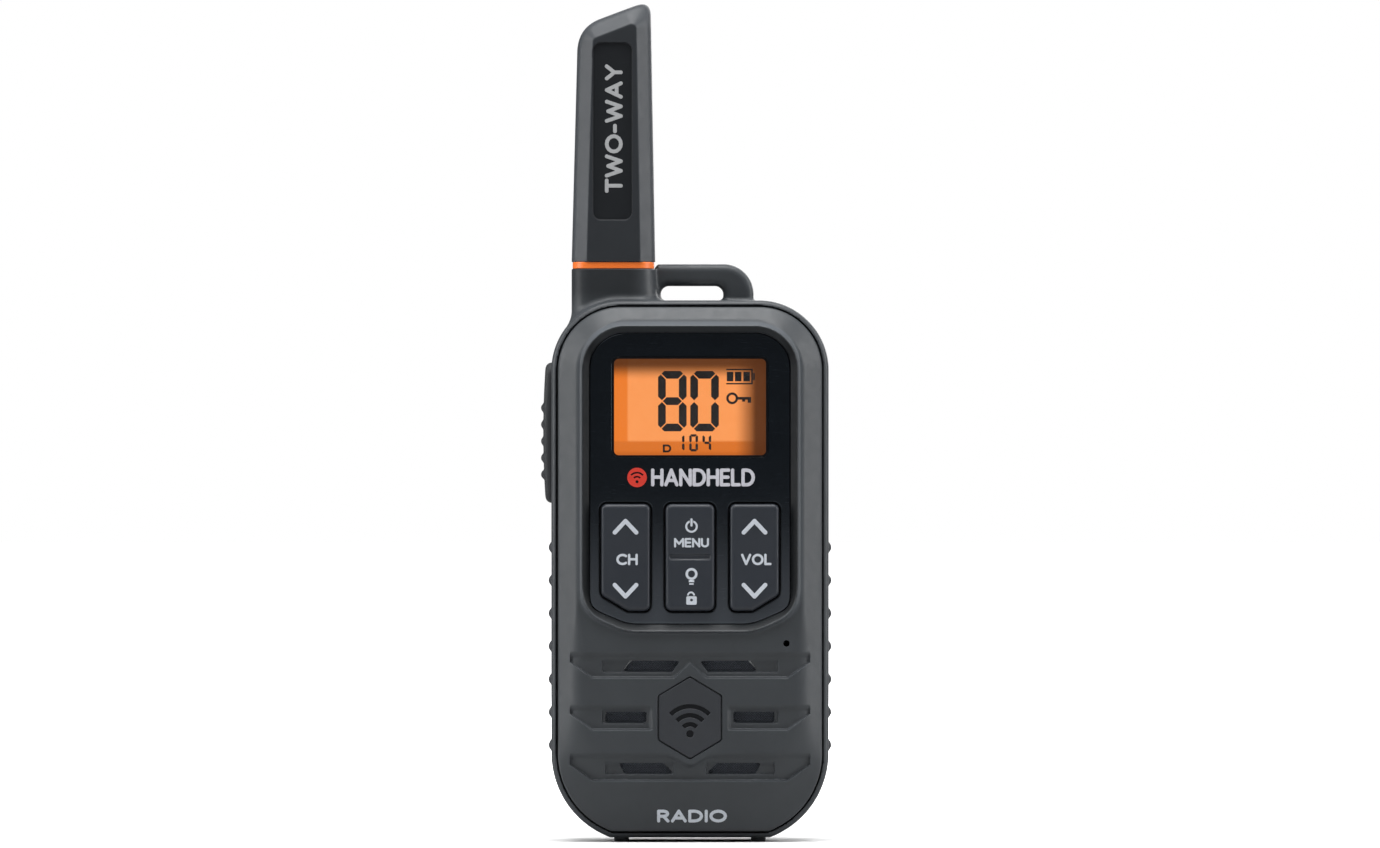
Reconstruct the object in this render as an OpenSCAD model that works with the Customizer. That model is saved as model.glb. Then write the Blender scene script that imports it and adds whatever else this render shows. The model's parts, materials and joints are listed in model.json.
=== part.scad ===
// Handheld two-way radio: a moulded two-shell body with a stub antenna, display, rocker keys,
// side talk button, battery bay, belt clip and carry loop.
// Millimetres. +Z is up and the front faces -Y. The origin is on the floor, under the middle of
// the whole footprint, belt clip included.

/* [Body] */
// Width across the rear shell
body_w = 55.6; // [54.8:0.2:57]
// Height of the rear shell's top edge above the floor
body_top = 108.6; // [108.6:0.2:110]
// Depth behind the origin plane, to the flat of the back
back_y = 15; // [15:0.1:15.6]
// Radius of the two top corners
top_r = 14; // [13.6:0.1:14.6]
// Radius of the two bottom corners
bottom_r = 18; // [17.6:0.1:18.4]

/* [Antenna] */
// Height of the antenna's tip, before its corner is rounded
antenna_tip = 169.1; // [160:0.5:175]
// How far the antenna's centre line stands left of the body's centre
antenna_x = -15.4; // [-15.8:0.1:-15]

/* [Display] */
// Width of the visible display
display_w = 30.4; // [28:0.2:31]
// Height of the visible display
display_h = 19.3; // [18:0.1:19.6]

/* [Keys] */
// Width of one rocker key
key_w = 9.8; // [9:0.1:10.2]
// Height of one rocker key
key_h = 21.4; // [20:0.2:22]
// Sideways distance between key centres
key_pitch = 12.9; // [12.8:0.1:13.2]
// Gap between a key and its opening
key_gap = 0.35; // [0.3:0.05:0.45]

/* [Talk button] */
// Height of the talk button
talk_h = 28.3; // [26:0.1:28.4]
// How far the talk button goes in
talk_travel = 1; // [0.6:0.1:1]

/* [Belt clip] */
// Width of the clip lever
clip_w = 19; // [18:0.5:22]
// Height of the clip lever's lower tip above the floor
clip_tip_z = 61; // [60:0.5:66]

/* [Hidden] */

$fn = 64;
loose = 0.05;         // running or assembly clearance
wall = 2;             // rear shell wall
half_w = body_w / 2;

// Depth levels, front to back
lip_y = -13.8;        // crest of the bezel round the fascia
face_y = -13;         // flat front of the front shell
fascia_y = -12.4;     // front of the fascia panel
fascia_t = 1.5;
seat_y = fascia_y + fascia_t;
seat_back_y = seat_y + 1.2;
rim_y = -8.8;         // front edge of the rear shell
ledge_y = -6;         // ledge the gasket lies on
flange_y = ledge_y - 0.6;
board_y = -5.8;       // front of the main board
board_t = 1.2;
board_back_y = board_y + board_t;
chamfer_y = 10;       // where the back edges start to slope in
back_slope = 4.5;

// Heights
foot_h = 0.9;
fascia_bottom = 43.8;
fascia_top = 102;
fascia_w = 40.5;
fascia_r = 7.4;
key_z = 57.1;
display_z = 87.2;
speaker_z = 24;
badge_z = 25;
badge_half_w = 6.3;
badge_half_h = 8.2;
mic_x = 19.3;
mic_z = 39.9;

// Antenna
antenna_y = 1.2;
antenna_depth = 12;
antenna_bottom_w = 16.8;
collar_top = 115;
ring_h = 1.35;
sleeve_z = collar_top + ring_h + loose;
antenna_bore_r = 3.6;

// Rocker keys
key_front_y = lip_y;
key_axis_y = -8;
flange_grow = 0.8;
key_nub_z = 7;

// Talk button
talk_z = 82.05;
talk_y = 1;
talk_depth = 8.4;
talk_flange_x = -half_w + wall + 0.2;
talk_flange_t = 1.2;
talk_plunger_len = 2;
talk_proud = 1.7;

// Ports
port_z = 81;
port_y = -2.6;
port_h = 22;
port_depth = 5.6;
usb_z = 76;
jack_z = 87;
jack_y = -2.4;
cover_hinge_x = half_w - 0.45;
cover_hinge_y = -0.1;

// Torch
torch_x = 3;
torch_y = -1;
torch_r = 2.8;

// Battery bay
door_half_w = 18.2;
door_bottom = 6;
door_top = 57.4;
door_t = 1.55;
cell_r = 5.1;
cell_pitch = 10.6;
cell_y = 8;
cell_bottom = 11.4;
cell_len = 42.4;
lead_z = 54.35;
lead_r = 0.45;

// Belt clip
clip_axis_y = back_y + 4;
clip_axis_z = 98;
clip_pin_r = 1.2;
clip_bore_r = clip_pin_r + loose;
clip_inner_y = clip_axis_y + 2.6;
clip_t = 1.6;

// Screws that hold the shells together
top_screw = [20.5, 100.5];
bottom_screw = [21.5, 14];
shell_screw_r = 1.2;
board_posts = [[21.3, 47], [21.3, 66]];
clip_screws_at = [[-5, 88], [5, 88]];

// Side grip ribs
rib_pitch = 6.62;
rib_first_z = 19.3;
rib_count = 7;

// Moves the whole object so that the origin is under the middle of its footprint.
module placed() {
    translate([0, -(lip_y + clip_inner_y + clip_t) / 2, 0]) children();
}

module along_y(y0, y1) {
    translate([0, y1, 0]) rotate([90, 0, 0]) linear_extrude(y1 - y0) children();
}

module along_x(x0, x1) {
    translate([x0, 0, 0]) rotate([90, 0, 90]) linear_extrude(x1 - x0) children();
}

module along_z(z0, z1) {
    translate([0, 0, z0]) linear_extrude(z1 - z0) children();
}

module pin_y(x, z, r, y0, y1) {
    translate([x, y1, z]) rotate([90, 0, 0]) cylinder(r = r, h = y1 - y0);
}

module pin_x(y, z, r, x0, x1) {
    translate([x0, y, z]) rotate([0, 90, 0]) cylinder(r = r, h = x1 - x0);
}

module mirrored() {
    children();
    mirror([1, 0, 0]) children();
}

// A rectangle with round corners, centred on the origin.
module round_rect(w, h, r) {
    square([w - 2 * r, h], center = true);
    square([w, h - 2 * r], center = true);
    for (sx = [-1, 1], sz = [-1, 1])
        translate([sx * (w / 2 - r), sz * (h / 2 - r)]) circle(r = r);
}

// The body's front-view outline, moved in by inset, with a flat base.
module body_outline(inset) {
    w = half_w - inset;
    rt = top_r - inset;
    rb = bottom_r - inset;
    top_centre = body_top - top_r;
    bottom_centre = bottom_r - 0.2;
    intersection() {
        union() {
            translate([-w, bottom_centre]) square([2 * w, top_centre - bottom_centre]);
            translate([-w + rt, top_centre]) square([2 * (w - rt), rt]);
            translate([-w + rb, bottom_centre - rb]) square([2 * (w - rb), rb]);
            for (s = [-1, 1]) {
                translate([s * (w - rt), top_centre]) circle(r = rt);
                translate([s * (w - rb), bottom_centre]) circle(r = rb);
            }
        }
        translate([-body_w, foot_h + inset]) square([2 * body_w, 2 * body_top]);
    }
}

// The fascia's outline: round top corners and sloped bottom corners, moved out by grow.
module fascia_outline(grow) {
    w = fascia_w / 2 + grow;
    top = fascia_top + grow;
    bottom = fascia_bottom - grow;
    r = fascia_r + grow;
    run = 7.8;
    rise = 3.3;
    shift = grow * 0.22;
    intersection() {
        union() {
            translate([-w, bottom]) square([2 * w, top - r - bottom]);
            translate([-w + r, bottom]) square([2 * (w - r), top - bottom]);
            for (s = [-1, 1]) translate([s * (w - r), top - r]) circle(r = r);
        }
        polygon([
            [-w + run + shift, bottom], [w - run - shift, bottom], [w, bottom + rise + shift],
            [w, top], [-w, top], [-w, bottom + rise + shift]
        ]);
    }
}

// Key outlines about the key's centre. slope is -1 or 1 for a sloped outer bottom corner, 0 for none.
module key_outline(slope, grow) {
    w = key_w / 2 + grow;
    h = key_h / 2 + grow;
    run = slope == 0 ? 0.8 : 5.3;
    rise = slope == 0 ? 0.8 : 3.2;
    side = slope == 0 ? 1 : slope;
    corner = 0.8;
    polygon([
        [side * (w - run), -h], [side * w, -h + rise], [side * w, h - corner],
        [side * (w - corner), h], [-side * (w - corner), h], [-side * w, h - corner],
        [-side * w, -h + corner], [-side * (w - corner), -h]
    ]);
}

module key_openings(y0, y1) {
    along_y(y0, y1)
        for (i = [-1 : 1]) translate([i * key_pitch, key_z]) key_outline(i, key_gap);
}

// The badge's outline: an upright hexagon with points at its top and bottom.
module badge_outline(grow) {
    w = badge_half_w + grow;
    h = badge_half_h + grow;
    shoulder = h - w * 0.6;
    translate([0, badge_z])
        polygon([[0, h], [-w, shoulder], [-w, -shoulder], [0, -h], [w, -shoulder], [w, shoulder]]);
}

// A round wire along a list of points, as one closed surface.
module wire(points, r, sides) {
    n = len(points);
    function direction(i) =
        let (d = points[min(i + 1, n - 1)] - points[max(i - 1, 0)]) d / norm(d);
    function aside(t) = let (c = cross(t, abs(t[2]) < 0.9 ? [0, 0, 1] : [0, 1, 0])) c / norm(c);
    verts = [for (i = [0 : n - 1]) let (t = direction(i), u = aside(t), v = cross(t, u))
        for (k = [0 : sides - 1])
            points[i] + r * (u * cos(360 * k / sides) + v * sin(360 * k / sides))];
    tube = [for (i = [0 : n - 2], k = [0 : sides - 1], half = [0, 1])
        let (j = (k + 1) % sides, a = i * sides, b = a + sides)
        half == 0 ? [a + k, b + k, b + j] : [a + k, b + j, a + j]];
    ends = [[for (k = [0 : sides - 1]) k],
        [for (k = [sides - 1 : -1 : 0]) (n - 1) * sides + k]];
    polyhedron(points = verts, faces = concat(tube, ends));
}

function helix(r, pitch, turns, per_turn) = [for (i = [0 : turns * per_turn])
    [r * cos(360 * i / per_turn), r * sin(360 * i / per_turn), pitch * i / per_turn]];

// ---- Grille: three sloped scoops, each ending in a ledge, with two slots in each ----

// One scoop's outline: top and bottom heights and the notch over the badge.
module scoop_outline(top, bottom, notch) {
    outer = 24.1;
    inner = 19.6;
    side_z = bottom + 3.2;
    polygon(concat(
        [[-outer, top], [-outer, side_z], [-inner, bottom]],
        notch > 0 ? [[-notch, bottom], [0, bottom + notch * 0.97], [notch, bottom]] : [],
        [[inner, bottom], [outer, side_z], [outer, top]]
    ));
}

// The space a scoop takes out of the face: nothing at its top, full depth at its ledge.
module scoop(top, bottom, notch) {
    depth = 0.95;
    intersection() {
        along_y(face_y - 2, face_y + depth) scoop_outline(top, bottom, notch);
        along_x(-30, 30) polygon([
            [face_y - 3, bottom - 1], [face_y + depth, bottom - 1], [face_y + depth, bottom + 1.2],
            [face_y, top], [face_y - 3, top]
        ]);
    }
}

// A slot on the right side: inner and outer ends at its top and bottom edges.
module slot_pair(top, bottom, top_in, top_out, bottom_in, bottom_out) {
    mirrored() along_y(face_y - 2, seat_back_y + 3) polygon([
        [top_in, top], [top_out, top], [bottom_out, bottom], [bottom_in, bottom]
    ]);
}

module grille_cuts() {
    difference() {
        union() {
            scoop(38, 32.85, 3.1);
            scoop(27.4, 22.5, 0);
            scoop(17.8, 12.3, 0);
        }
        along_y(face_y - 3, face_y + 2) badge_outline(1.5);
    }
    slot_pair(36.4, 34.35, 2, 12.1, 3.4, 13.5);
    slot_pair(26.2, 24.15, 8.7, 16.9, 8.7, 16.9);
    slot_pair(15.95, 13.85, 5.4, 14.2, 3.3, 13.2);
}

module front_shell() {
    color("#3b3d40") difference() {
        union() {
            difference() {
                union() {
                    hull($fn = 48) {
                        along_y(-9.2, flange_y) body_outline(1.35);
                        along_y(-11.9, -11.5) body_outline(3.6);
                        along_y(face_y, -12.6) body_outline(7.2);
                    }
                    along_y(lip_y, -11) fascia_outline(2.1);
                    along_y(flange_y, -4.6) body_outline(2.25);
                }
                along_y(seat_back_y, -4) body_outline(3.45);
                along_y(-10.6, -9) intersection() {
                    body_outline(3.45);
                    translate([-30, 0]) square([60, fascia_bottom - 0.9]);
                }
            }
            mirrored() for (p = [top_screw, bottom_screw])
                pin_y(p[0], p[1], 2.6, -10.5, -3.2);
            mirrored() for (p = board_posts) pin_y(p[0], p[1], 1.8, -9.9, board_y - loose);
        }
        along_y(lip_y - 1, seat_y) fascia_outline(0.1);
        hull($fn = 48) {
            along_y(lip_y - 0.2, lip_y - 0.1) fascia_outline(1.6);
            along_y(fascia_y - 0.1, fascia_y) fascia_outline(0.15);
        }
        along_y(seat_y - 1, seat_back_y + 1) translate([0, display_z])
            square([display_w, display_h], center = true);
        key_openings(seat_y - 1, seat_back_y + 1);
        grille_cuts();
        along_y(face_y - 1, face_y + 0.8) badge_outline(loose);
        pin_y(mic_x, mic_z, 0.65, face_y - 2, -9);
        mirrored() for (p = [top_screw, bottom_screw])
            pin_y(p[0], p[1], shell_screw_r + 0.02, -9.4, -3);
        mirrored() for (p = board_posts) pin_y(p[0], p[1], 0.82, -9.4, -5);
    }
}

module badge_plate() {
    color("#333538") difference() {
        along_y(face_y + 0.05, face_y + 0.75) badge_outline(-loose);
        // Three plain arcs over a dot, cut into the plate
        for (r = [1.9, 3.7, 5.5]) along_y(face_y - 1, face_y + 0.35) translate([0, badge_z - 3.2])
            intersection() {
                difference() {
                    circle(r = r + 0.45);
                    circle(r = r - 0.45);
                }
                polygon([[0, 0], [-9, 9], [9, 9]]);
            }
        pin_y(0, badge_z - 3.2, 0.7, face_y - 1, face_y + 0.35);
    }
}

// ---- Rear shell with the antenna collar and the carry loop ----

module rear_profile() {
    // Plan view: straight sides, back edges sloped in
    polygon([
        [-half_w + 0.5, rim_y], [half_w - 0.5, rim_y], [half_w, rim_y + 0.6],
        [half_w, chamfer_y], [half_w - back_slope, back_y], [-half_w + back_slope, back_y],
        [-half_w, chamfer_y], [-half_w, rim_y + 0.6]
    ]);
}

module rear_side_profile() {
    polygon([
        [rim_y, foot_h + 0.4], [rim_y + 0.6, foot_h], [chamfer_y, foot_h],
        [back_y, foot_h + back_slope], [back_y, body_top - back_slope],
        [chamfer_y, body_top], [rim_y + 0.6, body_top], [rim_y, body_top - 0.4]
    ]);
}

module antenna_section(w, d) {
    translate([antenna_x, antenna_y]) round_rect(w, d, 4);
}

module carry_loop() {
    along_y(2, 8) difference() {
        union() {
            translate([-12, body_top - 3]) square([18.8, 10.4]);
            translate([6.8, body_top - 3]) square([6, 4.4]);
            translate([6.8, 110]) circle(r = 6);
        }
        translate([0.4, 109.8]) round_rect(12.6, 3.6, 1.7);
    }
}

module battery_bay_block() {
    along_y(1.2, back_y) translate([-19.8, 2.8]) square([39.6, 56.6]);
}

module battery_bay_hollow() {
    along_y(2.4, back_y + 1) translate([-16.6, 7.2]) square([33.2, 48]);
    along_y(back_y - door_t - loose, back_y + 1)
        translate([-door_half_w - 0.1, door_bottom - 0.1])
            square([2 * door_half_w + 0.2, door_top - door_bottom + 0.2]);
    // Keeper notch for the latch tongue
    along_y(13.8, back_y + 1) translate([-3.1, 4.4]) square([6.2, 2]);
}

module rear_shell() {
    color("#3e4043") difference() {
        union() {
            difference() {
                intersection() {
                    along_y(rim_y, back_y) body_outline(0);
                    along_z(-1, body_top + 1) rear_profile();
                    along_x(-half_w - 1, half_w + 1) rear_side_profile();
                }
                along_y(rim_y - 1, ledge_y) body_outline(1);
                along_y(ledge_y - 1, 10.2) body_outline(wall);
                along_y(10, 12.9) body_outline(6);
            }
            difference() {
                union() {
                    along_z(body_top - 12, collar_top)
                        antenna_section(antenna_bottom_w, antenna_depth);
                    carry_loop();
                }
                along_y(ledge_y - 1, chamfer_y) body_outline(wall);
                along_z(collar_top, collar_top + 3)
                    antenna_section(antenna_bottom_w, antenna_depth);
            }
            intersection() {
                battery_bay_block();
                along_y(0, back_y) body_outline(1);
                along_x(-half_w, half_w) rear_side_profile();
            }
            mirrored() pin_y(top_screw[0], top_screw[1], 2.9, -3, 13);
            mirrored() pin_y(bottom_screw[0], bottom_screw[1], 2.9, -3, 13);
            for (p = clip_screws_at) pin_y(p[0], p[1], 2, 9, 13);
            mirrored() translate([12.3, -5, 0]) cube([2.9, 15, foot_h + 1]);
        }
        translate([antenna_x, antenna_y, 100]) cylinder(r = antenna_bore_r, h = 30);
        battery_bay_hollow();
        mirrored() for (p = [top_screw, bottom_screw]) {
            pin_y(p[0], p[1], shell_screw_r + 0.15, -5, 16);
            pin_y(p[0], p[1], 2.4, 8, 16);
        }
        for (p = clip_screws_at) pin_y(p[0], p[1], 1.02, 8, 16);
        mirrored() pin_y(cell_pitch, lead_z + 0.2, lead_r + 0.35, 0, 3);
        // Talk button opening
        along_x(-half_w - 1, -half_w + 3) translate([talk_y, talk_z])
            square([talk_depth + 0.4, talk_h + 0.4], center = true);
        // Port pocket and the two holes through it
        along_x(half_w - 1, half_w + 1) translate([port_y, port_z])
            square([port_depth + 0.5, port_h + 0.4], center = true);
        along_x(half_w - 4, half_w) translate([-2.9, usb_z])
            square([3.6, 9.6], center = true);
        pin_x(jack_y, jack_z, 2, half_w - 4, half_w);
        // Torch opening
        translate([torch_x, torch_y, body_top - 5]) cylinder(r = torch_r + loose, h = 8);
        // Channels for the side grips
        mirrored() along_x(half_w - 0.5, half_w + 1) grip_outline(loose);
    }
}

module grip_outline(grow) {
    z0 = rib_first_z - 3.4;
    z1 = rib_first_z + (rib_count - 1) * rib_pitch + 3.4;
    translate([1.5, (z0 + z1) / 2]) round_rect(11 + 2 * grow, z1 - z0 + 2 * grow, 2);
}

// A rubber strip with half-round ribs, lying in the rear shell's side channel.
module grip() {
    color("#35373a") {
        along_x(half_w - 0.45, half_w) grip_outline(0);
        for (i = [0 : rib_count - 1])
            translate([half_w - 0.1, 0, rib_first_z + i * rib_pitch]) intersection() {
                translate([-0.55, 1.5, 0]) rotate([90, 0, 0])
                    cylinder(r = 1.25, h = 9, center = true);
                translate([0, -10, -2]) cube([3, 20, 4]);
            }
    }
}

module right_grip() { grip(); }
module left_grip() { mirror([1, 0, 0]) grip(); }

module seam_gasket() {
    color("#101113") along_y(flange_y + loose, ledge_y - loose) difference() {
        body_outline(1.4);
        body_outline(2);
    }
}

module shell_screws() {
    color("#9a9da1") mirrored() for (p = [top_screw, bottom_screw]) difference() {
        union() {
            pin_y(p[0], p[1], shell_screw_r, -8.6, 8.2);
            pin_y(p[0], p[1], 2.2, 8 + loose, 9.6);
        }
        // Cross recess
        for (a = [0, 90]) translate([p[0], 9.3, p[1]]) rotate([0, a, 0])
            cube([0.6, 1.4, 2.4], center = true);
    }
}

// ---- Fascia and display ----

module fascia_panel() {
    color("#0b0e13") difference() {
        along_y(fascia_y, seat_y - loose) fascia_outline(0);
        along_y(fascia_y - 1, seat_y + 1) translate([0, display_z])
            round_rect(display_w + 1, display_h + 1, 1.4);
        key_openings(fascia_y - 1, seat_y + 1);
    }
}

module display_window() {
    color("#cfd8dc", 0.35) along_y(fascia_y + 0.05, seat_y - loose) translate([0, display_z])
        round_rect(display_w + 0.9, display_h + 0.9, 1.35);
}

module display_glass() {
    color("#f08a3c") along_y(-9.5, -7.7) translate([0, display_z])
        square([32.6, 22.4], center = true);
}

module display_backlight() {
    color("#fff3e0") along_y(-7.6, -6.1) translate([0, display_z])
        square([32.6, 22.4], center = true);
}

module display_frame() {
    color("#e8e8e6") along_y(-9.6, board_y - loose) translate([0, display_z]) difference() {
        square([35, 24.6], center = true);
        square([32.8, 22.6], center = true);
    }
}

// Rubber strip that joins the glass to the board
module display_connector() {
    color("#d4a0a8") along_y(-9.4, board_y - loose) translate([0, display_z - 13.6])
        square([30, 2], center = true);
}

// ---- Keys ----

module rocker_key(slope) {
    color("#343840") translate([slope * key_pitch, 0, key_z]) {
        hull() {
            along_y(key_front_y, key_front_y + 0.1) key_outline(slope, -0.6);
            along_y(key_front_y + 0.6, -8.6) key_outline(slope, 0);
        }
        along_y(-9.1, -8.2) key_outline(slope, flange_grow);
        pin_x(key_axis_y, 0, 0.8, -3, 3);
        for (s = [-1, 1]) pin_y(0, s * key_nub_z, 1.5, -8.5, -7.6);
    }
}

module channel_key() { rocker_key(-1); }
module volume_key() { rocker_key(1); }

// The middle key has a groove between its two functions.
module menu_key() {
    difference() {
        rocker_key(0);
        along_y(key_front_y - 1, key_front_y + 0.35) translate([0, key_z + 0.1])
            square([key_w - 1.6, 1.1], center = true);
    }
}

module keypad_mat() {
    sheet_y = -6.6;
    color("#5a5e66") difference() {
        union() {
            along_y(sheet_y, board_y - loose) translate([0, key_z]) round_rect(38.6, 24.6, 2);
            for (i = [-1 : 1]) translate([i * key_pitch, 0, key_z]) {
                for (s = [-1, 1]) pin_y(0, s * key_nub_z, 2.4, -7.15, sheet_y + 0.1);
                along_y(-7.15, sheet_y + 0.1) square([6, 1.6], center = true);
            }
        }
        for (i = [-1 : 1], s = [-1, 1])
            pin_y(i * key_pitch, key_z + s * key_nub_z, 1.9, -6.5, -5);
    }
}

module key_domes() {
    color("#c9ccd0") for (i = [-1 : 1], s = [-1, 1])
        translate([i * key_pitch, board_y - loose, key_z + s * key_nub_z]) rotate([90, 0, 0])
            cylinder(r1 = 1.8, r2 = 1.1, h = 0.4);
}

// ---- Board ----

module main_board() {
    color("#1f6b3a") difference() {
        along_y(board_y, board_back_y) intersection() {
            translate([-23.4, 44.4]) square([46.8, 60.6]);
            body_outline(4);
            difference() {
                square([100, 300], center = true);
                for (s = [-1, 1]) translate([s * 24, 101]) square([15, 10], center = true);
            }
        }
        mirrored() for (p = board_posts) pin_y(p[0], p[1], 0.95, -7, -3);
    }
}

module board_screws() {
    color("#b8babd") mirrored() for (p = board_posts) {
        pin_y(p[0], p[1], 0.8, -8.8, board_back_y + 0.4);
        pin_y(p[0], p[1], 1.6, board_back_y + loose, board_back_y + 1);
    }
}

module rf_shield() {
    color("#c8cbcf") along_y(board_back_y + loose, board_back_y + 2.6)
        translate([-3, 66]) round_rect(24, 20, 0.8);
}

module board_chips() {
    color("#17181a") {
        along_y(board_back_y + loose, board_back_y + 1.1) {
            translate([-8, 50]) square([7, 7], center = true);
            translate([4, 50]) square([5, 6], center = true);
            translate([13.5, 58]) square([4, 8], center = true);
            translate([0, 94]) square([9, 6], center = true);
        }
        along_y(board_back_y + loose, board_back_y + 2)
            for (x = [-14, -11.4, 10, 12.6]) translate([x, 86]) square([1.6, 3], center = true);
    }
}

module microphone() {
    color("#b9bcbf") pin_y(mic_x, mic_z, 1.9, -9.4, -7.6);
}

module microphone_boot() {
    color("#1c1d1f") difference() {
        pin_y(mic_x, mic_z, 2.7, -10.5, -7.2);
        pin_y(mic_x, mic_z, 2, -9.5, -7);
        pin_y(mic_x, mic_z, 0.65, -11, -9);
    }
}

// ---- Speaker ----

module speaker_cloth() {
    color("#14161a") pin_y(0, speaker_z, 17, -10.55, -10.35);
}

module speaker_basket() {
    color("#8d9094") difference() {
        union() {
            pin_y(0, speaker_z, 17.6, -10.3, -8.6);
            translate([0, -5.4, speaker_z]) rotate([90, 0, 0])
                cylinder(r1 = 10, r2 = 17, h = 3.4);
        }
        pin_y(0, speaker_z, 16.4, -10.6, -9.2);
        translate([0, -6.2, speaker_z]) rotate([90, 0, 0]) cylinder(r1 = 8.4, r2 = 16.4, h = 3.1);
        pin_y(0, speaker_z, 5.4, -8, -4);
    }
}

module speaker_cone() {
    color("#2a2c2f") translate([0, 0, speaker_z]) rotate([90, 0, 0]) rotate_extrude() polygon([
        [0, 9.3], [2.6, 9.1], [4.8, 8], [5.1, 7.1], [5.5, 7.1], [5.8, 7.9], [14.5, 9.45],
        [16.2, 9.45], [16.2, 9.7], [14.4, 9.75], [5.6, 8.5], [4.9, 8.4], [2.8, 9.4], [0, 9.6]
    ]);
}

module speaker_magnet() {
    color("#6f7276") {
        pin_y(0, speaker_z, 9, -5.35, -2.6);
        pin_y(0, speaker_z, 4.6, -7, -5.3);
    }
}

// Two leads from the speaker's terminals up to the board
module speaker_leads() {
    color("#b3261e") for (s = [-1, 1])
        wire([for (t = [0 : 0.1 : 1]) [
            s * 2 + 9 + 2 * sin(180 * t), -3.4 - 0.6 * t, speaker_z + 10.4 + 11.4 * t
        ]], 0.4, 6);
}

module microphone_leads() {
    color("#1d5fa8") for (s = [-1, 1])
        wire([for (t = [0 : 0.1 : 1]) [
            mic_x - 0.4 + s * 0.5 - 1.2 * t, -7.35 + 1.9 * t, mic_z + 0.5 + 3.5 * t + 0.4 * sin(180 * t)
        ]], 0.25, 6);
}

// ---- Talk button ----

module talk_outline(grow) {
    round_rect(talk_depth + 2 * grow, talk_h + 2 * grow, 2.4 + grow);
}

module talk_button() {
    outer_x = -half_w - talk_proud;
    color("#383a41") {
        hull() {
            along_x(outer_x, outer_x + 0.1) translate([talk_y, talk_z]) talk_outline(-2);
            along_x(outer_x + 1.3, talk_flange_x + 0.1) translate([talk_y, talk_z])
                talk_outline(0);
        }
        along_x(talk_flange_x, talk_flange_x + talk_flange_t) translate([talk_y, talk_z])
            square([talk_depth + 1.4, talk_h + 0.8], center = true);
        for (i = [0 : 4]) translate([outer_x + 0.55, talk_y, talk_z + 5 - 3.35 * i])
            rotate([90, 0, 0]) cylinder(r = 1, h = 5, center = true);
    }
}

module talk_plunger() {
    color("#d9dbdc") pin_x(talk_y, talk_z, 1.6, talk_flange_x + talk_flange_t + loose,
        talk_flange_x + talk_flange_t + talk_plunger_len);
}

module talk_switch() {
    tip_x = talk_flange_x + talk_flange_t + talk_plunger_len + talk_travel + 0.1;
    color("#2b2d30") {
        translate([tip_x + 0.9, board_back_y + loose, talk_z - 3.1]) cube([3.6, 8.6, 6.2]);
        pin_x(talk_y, talk_z, 1.2, tip_x, tip_x + 1);
    }
}

// ---- Antenna ----

module sleeve_outline(inset) {
    // Seen from the front: sides lean in slightly and the top slopes down to the left
    left_bottom = antenna_x - 8.4;
    right_bottom = antenna_x + 8.4;
    left_top = antenna_x - 7.15;
    right_top = antenna_x + 7.48;
    intersection() {
        offset(r = 3 - min(inset, 2)) offset(delta = -3 - inset + min(inset, 2)) polygon([
            [left_bottom - 0.2, collar_top - 8], [right_bottom + 0.2, collar_top - 8],
            [right_top, antenna_tip], [left_top, antenna_tip - 5.5]
        ]);
        translate([-60, sleeve_z]) square([60, 100]);
    }
}

module antenna_sleeve() {
    front = antenna_y - antenna_depth / 2;
    back = antenna_y + antenna_depth / 2;
    bevel = 2.7;
    color("#3a3d41") difference() {
        hull($fn = 32) {
            along_y(front, front + 0.1) sleeve_outline(bevel);
            along_y(front + bevel, back - bevel) sleeve_outline(0);
            along_y(back - 0.1, back) sleeve_outline(bevel);
        }
        along_y(front - 1, front + 0.5) translate([antenna_x - 0.15, 142.6])
            round_rect(7.8, 35.6, 1.6);
        translate([antenna_x, antenna_y, sleeve_z - 1])
            cylinder(r = antenna_bore_r, h = antenna_tip - 9 - sleeve_z);
    }
}

module antenna_ring() {
    color("#e8702a") difference() {
        along_z(collar_top + loose / 2, collar_top + ring_h)
            antenna_section(antenna_bottom_w - 0.4, antenna_depth - 0.4);
        translate([antenna_x, antenna_y, 100]) cylinder(r = antenna_bore_r, h = 30);
    }
}

module antenna_core() {
    color("#e9e6dc") translate([antenna_x, antenna_y, 0]) {
        translate([0, 0, 105]) cylinder(r = antenna_bore_r - loose, h = 15);
        translate([0, 0, 119.9]) cylinder(r = 1.9, h = 38);
    }
}

module antenna_coil() {
    color("#c77b3a") translate([antenna_x, antenna_y, 121])
        wire(helix(2.5, 2.6, 13, 14), 0.35, 5);
}

// Springy wire from the board to the foot of the antenna core
module antenna_feed() {
    rise = 6.8;
    run = antenna_y - board_back_y - 0.5;
    color("#d8b25a") translate([antenna_x, board_back_y + 0.4, 104.5 - rise])
        wire([for (t = [0 : 0.1 : 1]) [0, run * t, rise * t * t]], 0.4, 6);
}

// ---- Torch and ports ----

module torch_lens() {
    color("#eef3f5", 0.5) translate([torch_x, torch_y, 0]) {
        translate([0, 0, body_top - wall - 0.9]) cylinder(r = torch_r + 0.6, h = 0.85);
        translate([0, 0, body_top - wall - 0.1]) cylinder(r = torch_r, h = wall);
    }
}

module torch_led() {
    color("#f4e9b0") translate([torch_x, torch_y, 0]) {
        translate([0, 0, 102.2]) cylinder(r = 1.5, h = 2.4);
        translate([0, 0, 101.6]) cylinder(r = 1.8, h = 0.8);
        translate([-1.5, board_back_y + loose - torch_y, 100.4]) cube([3, 5.2, 1.3]);
    }
}

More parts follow.
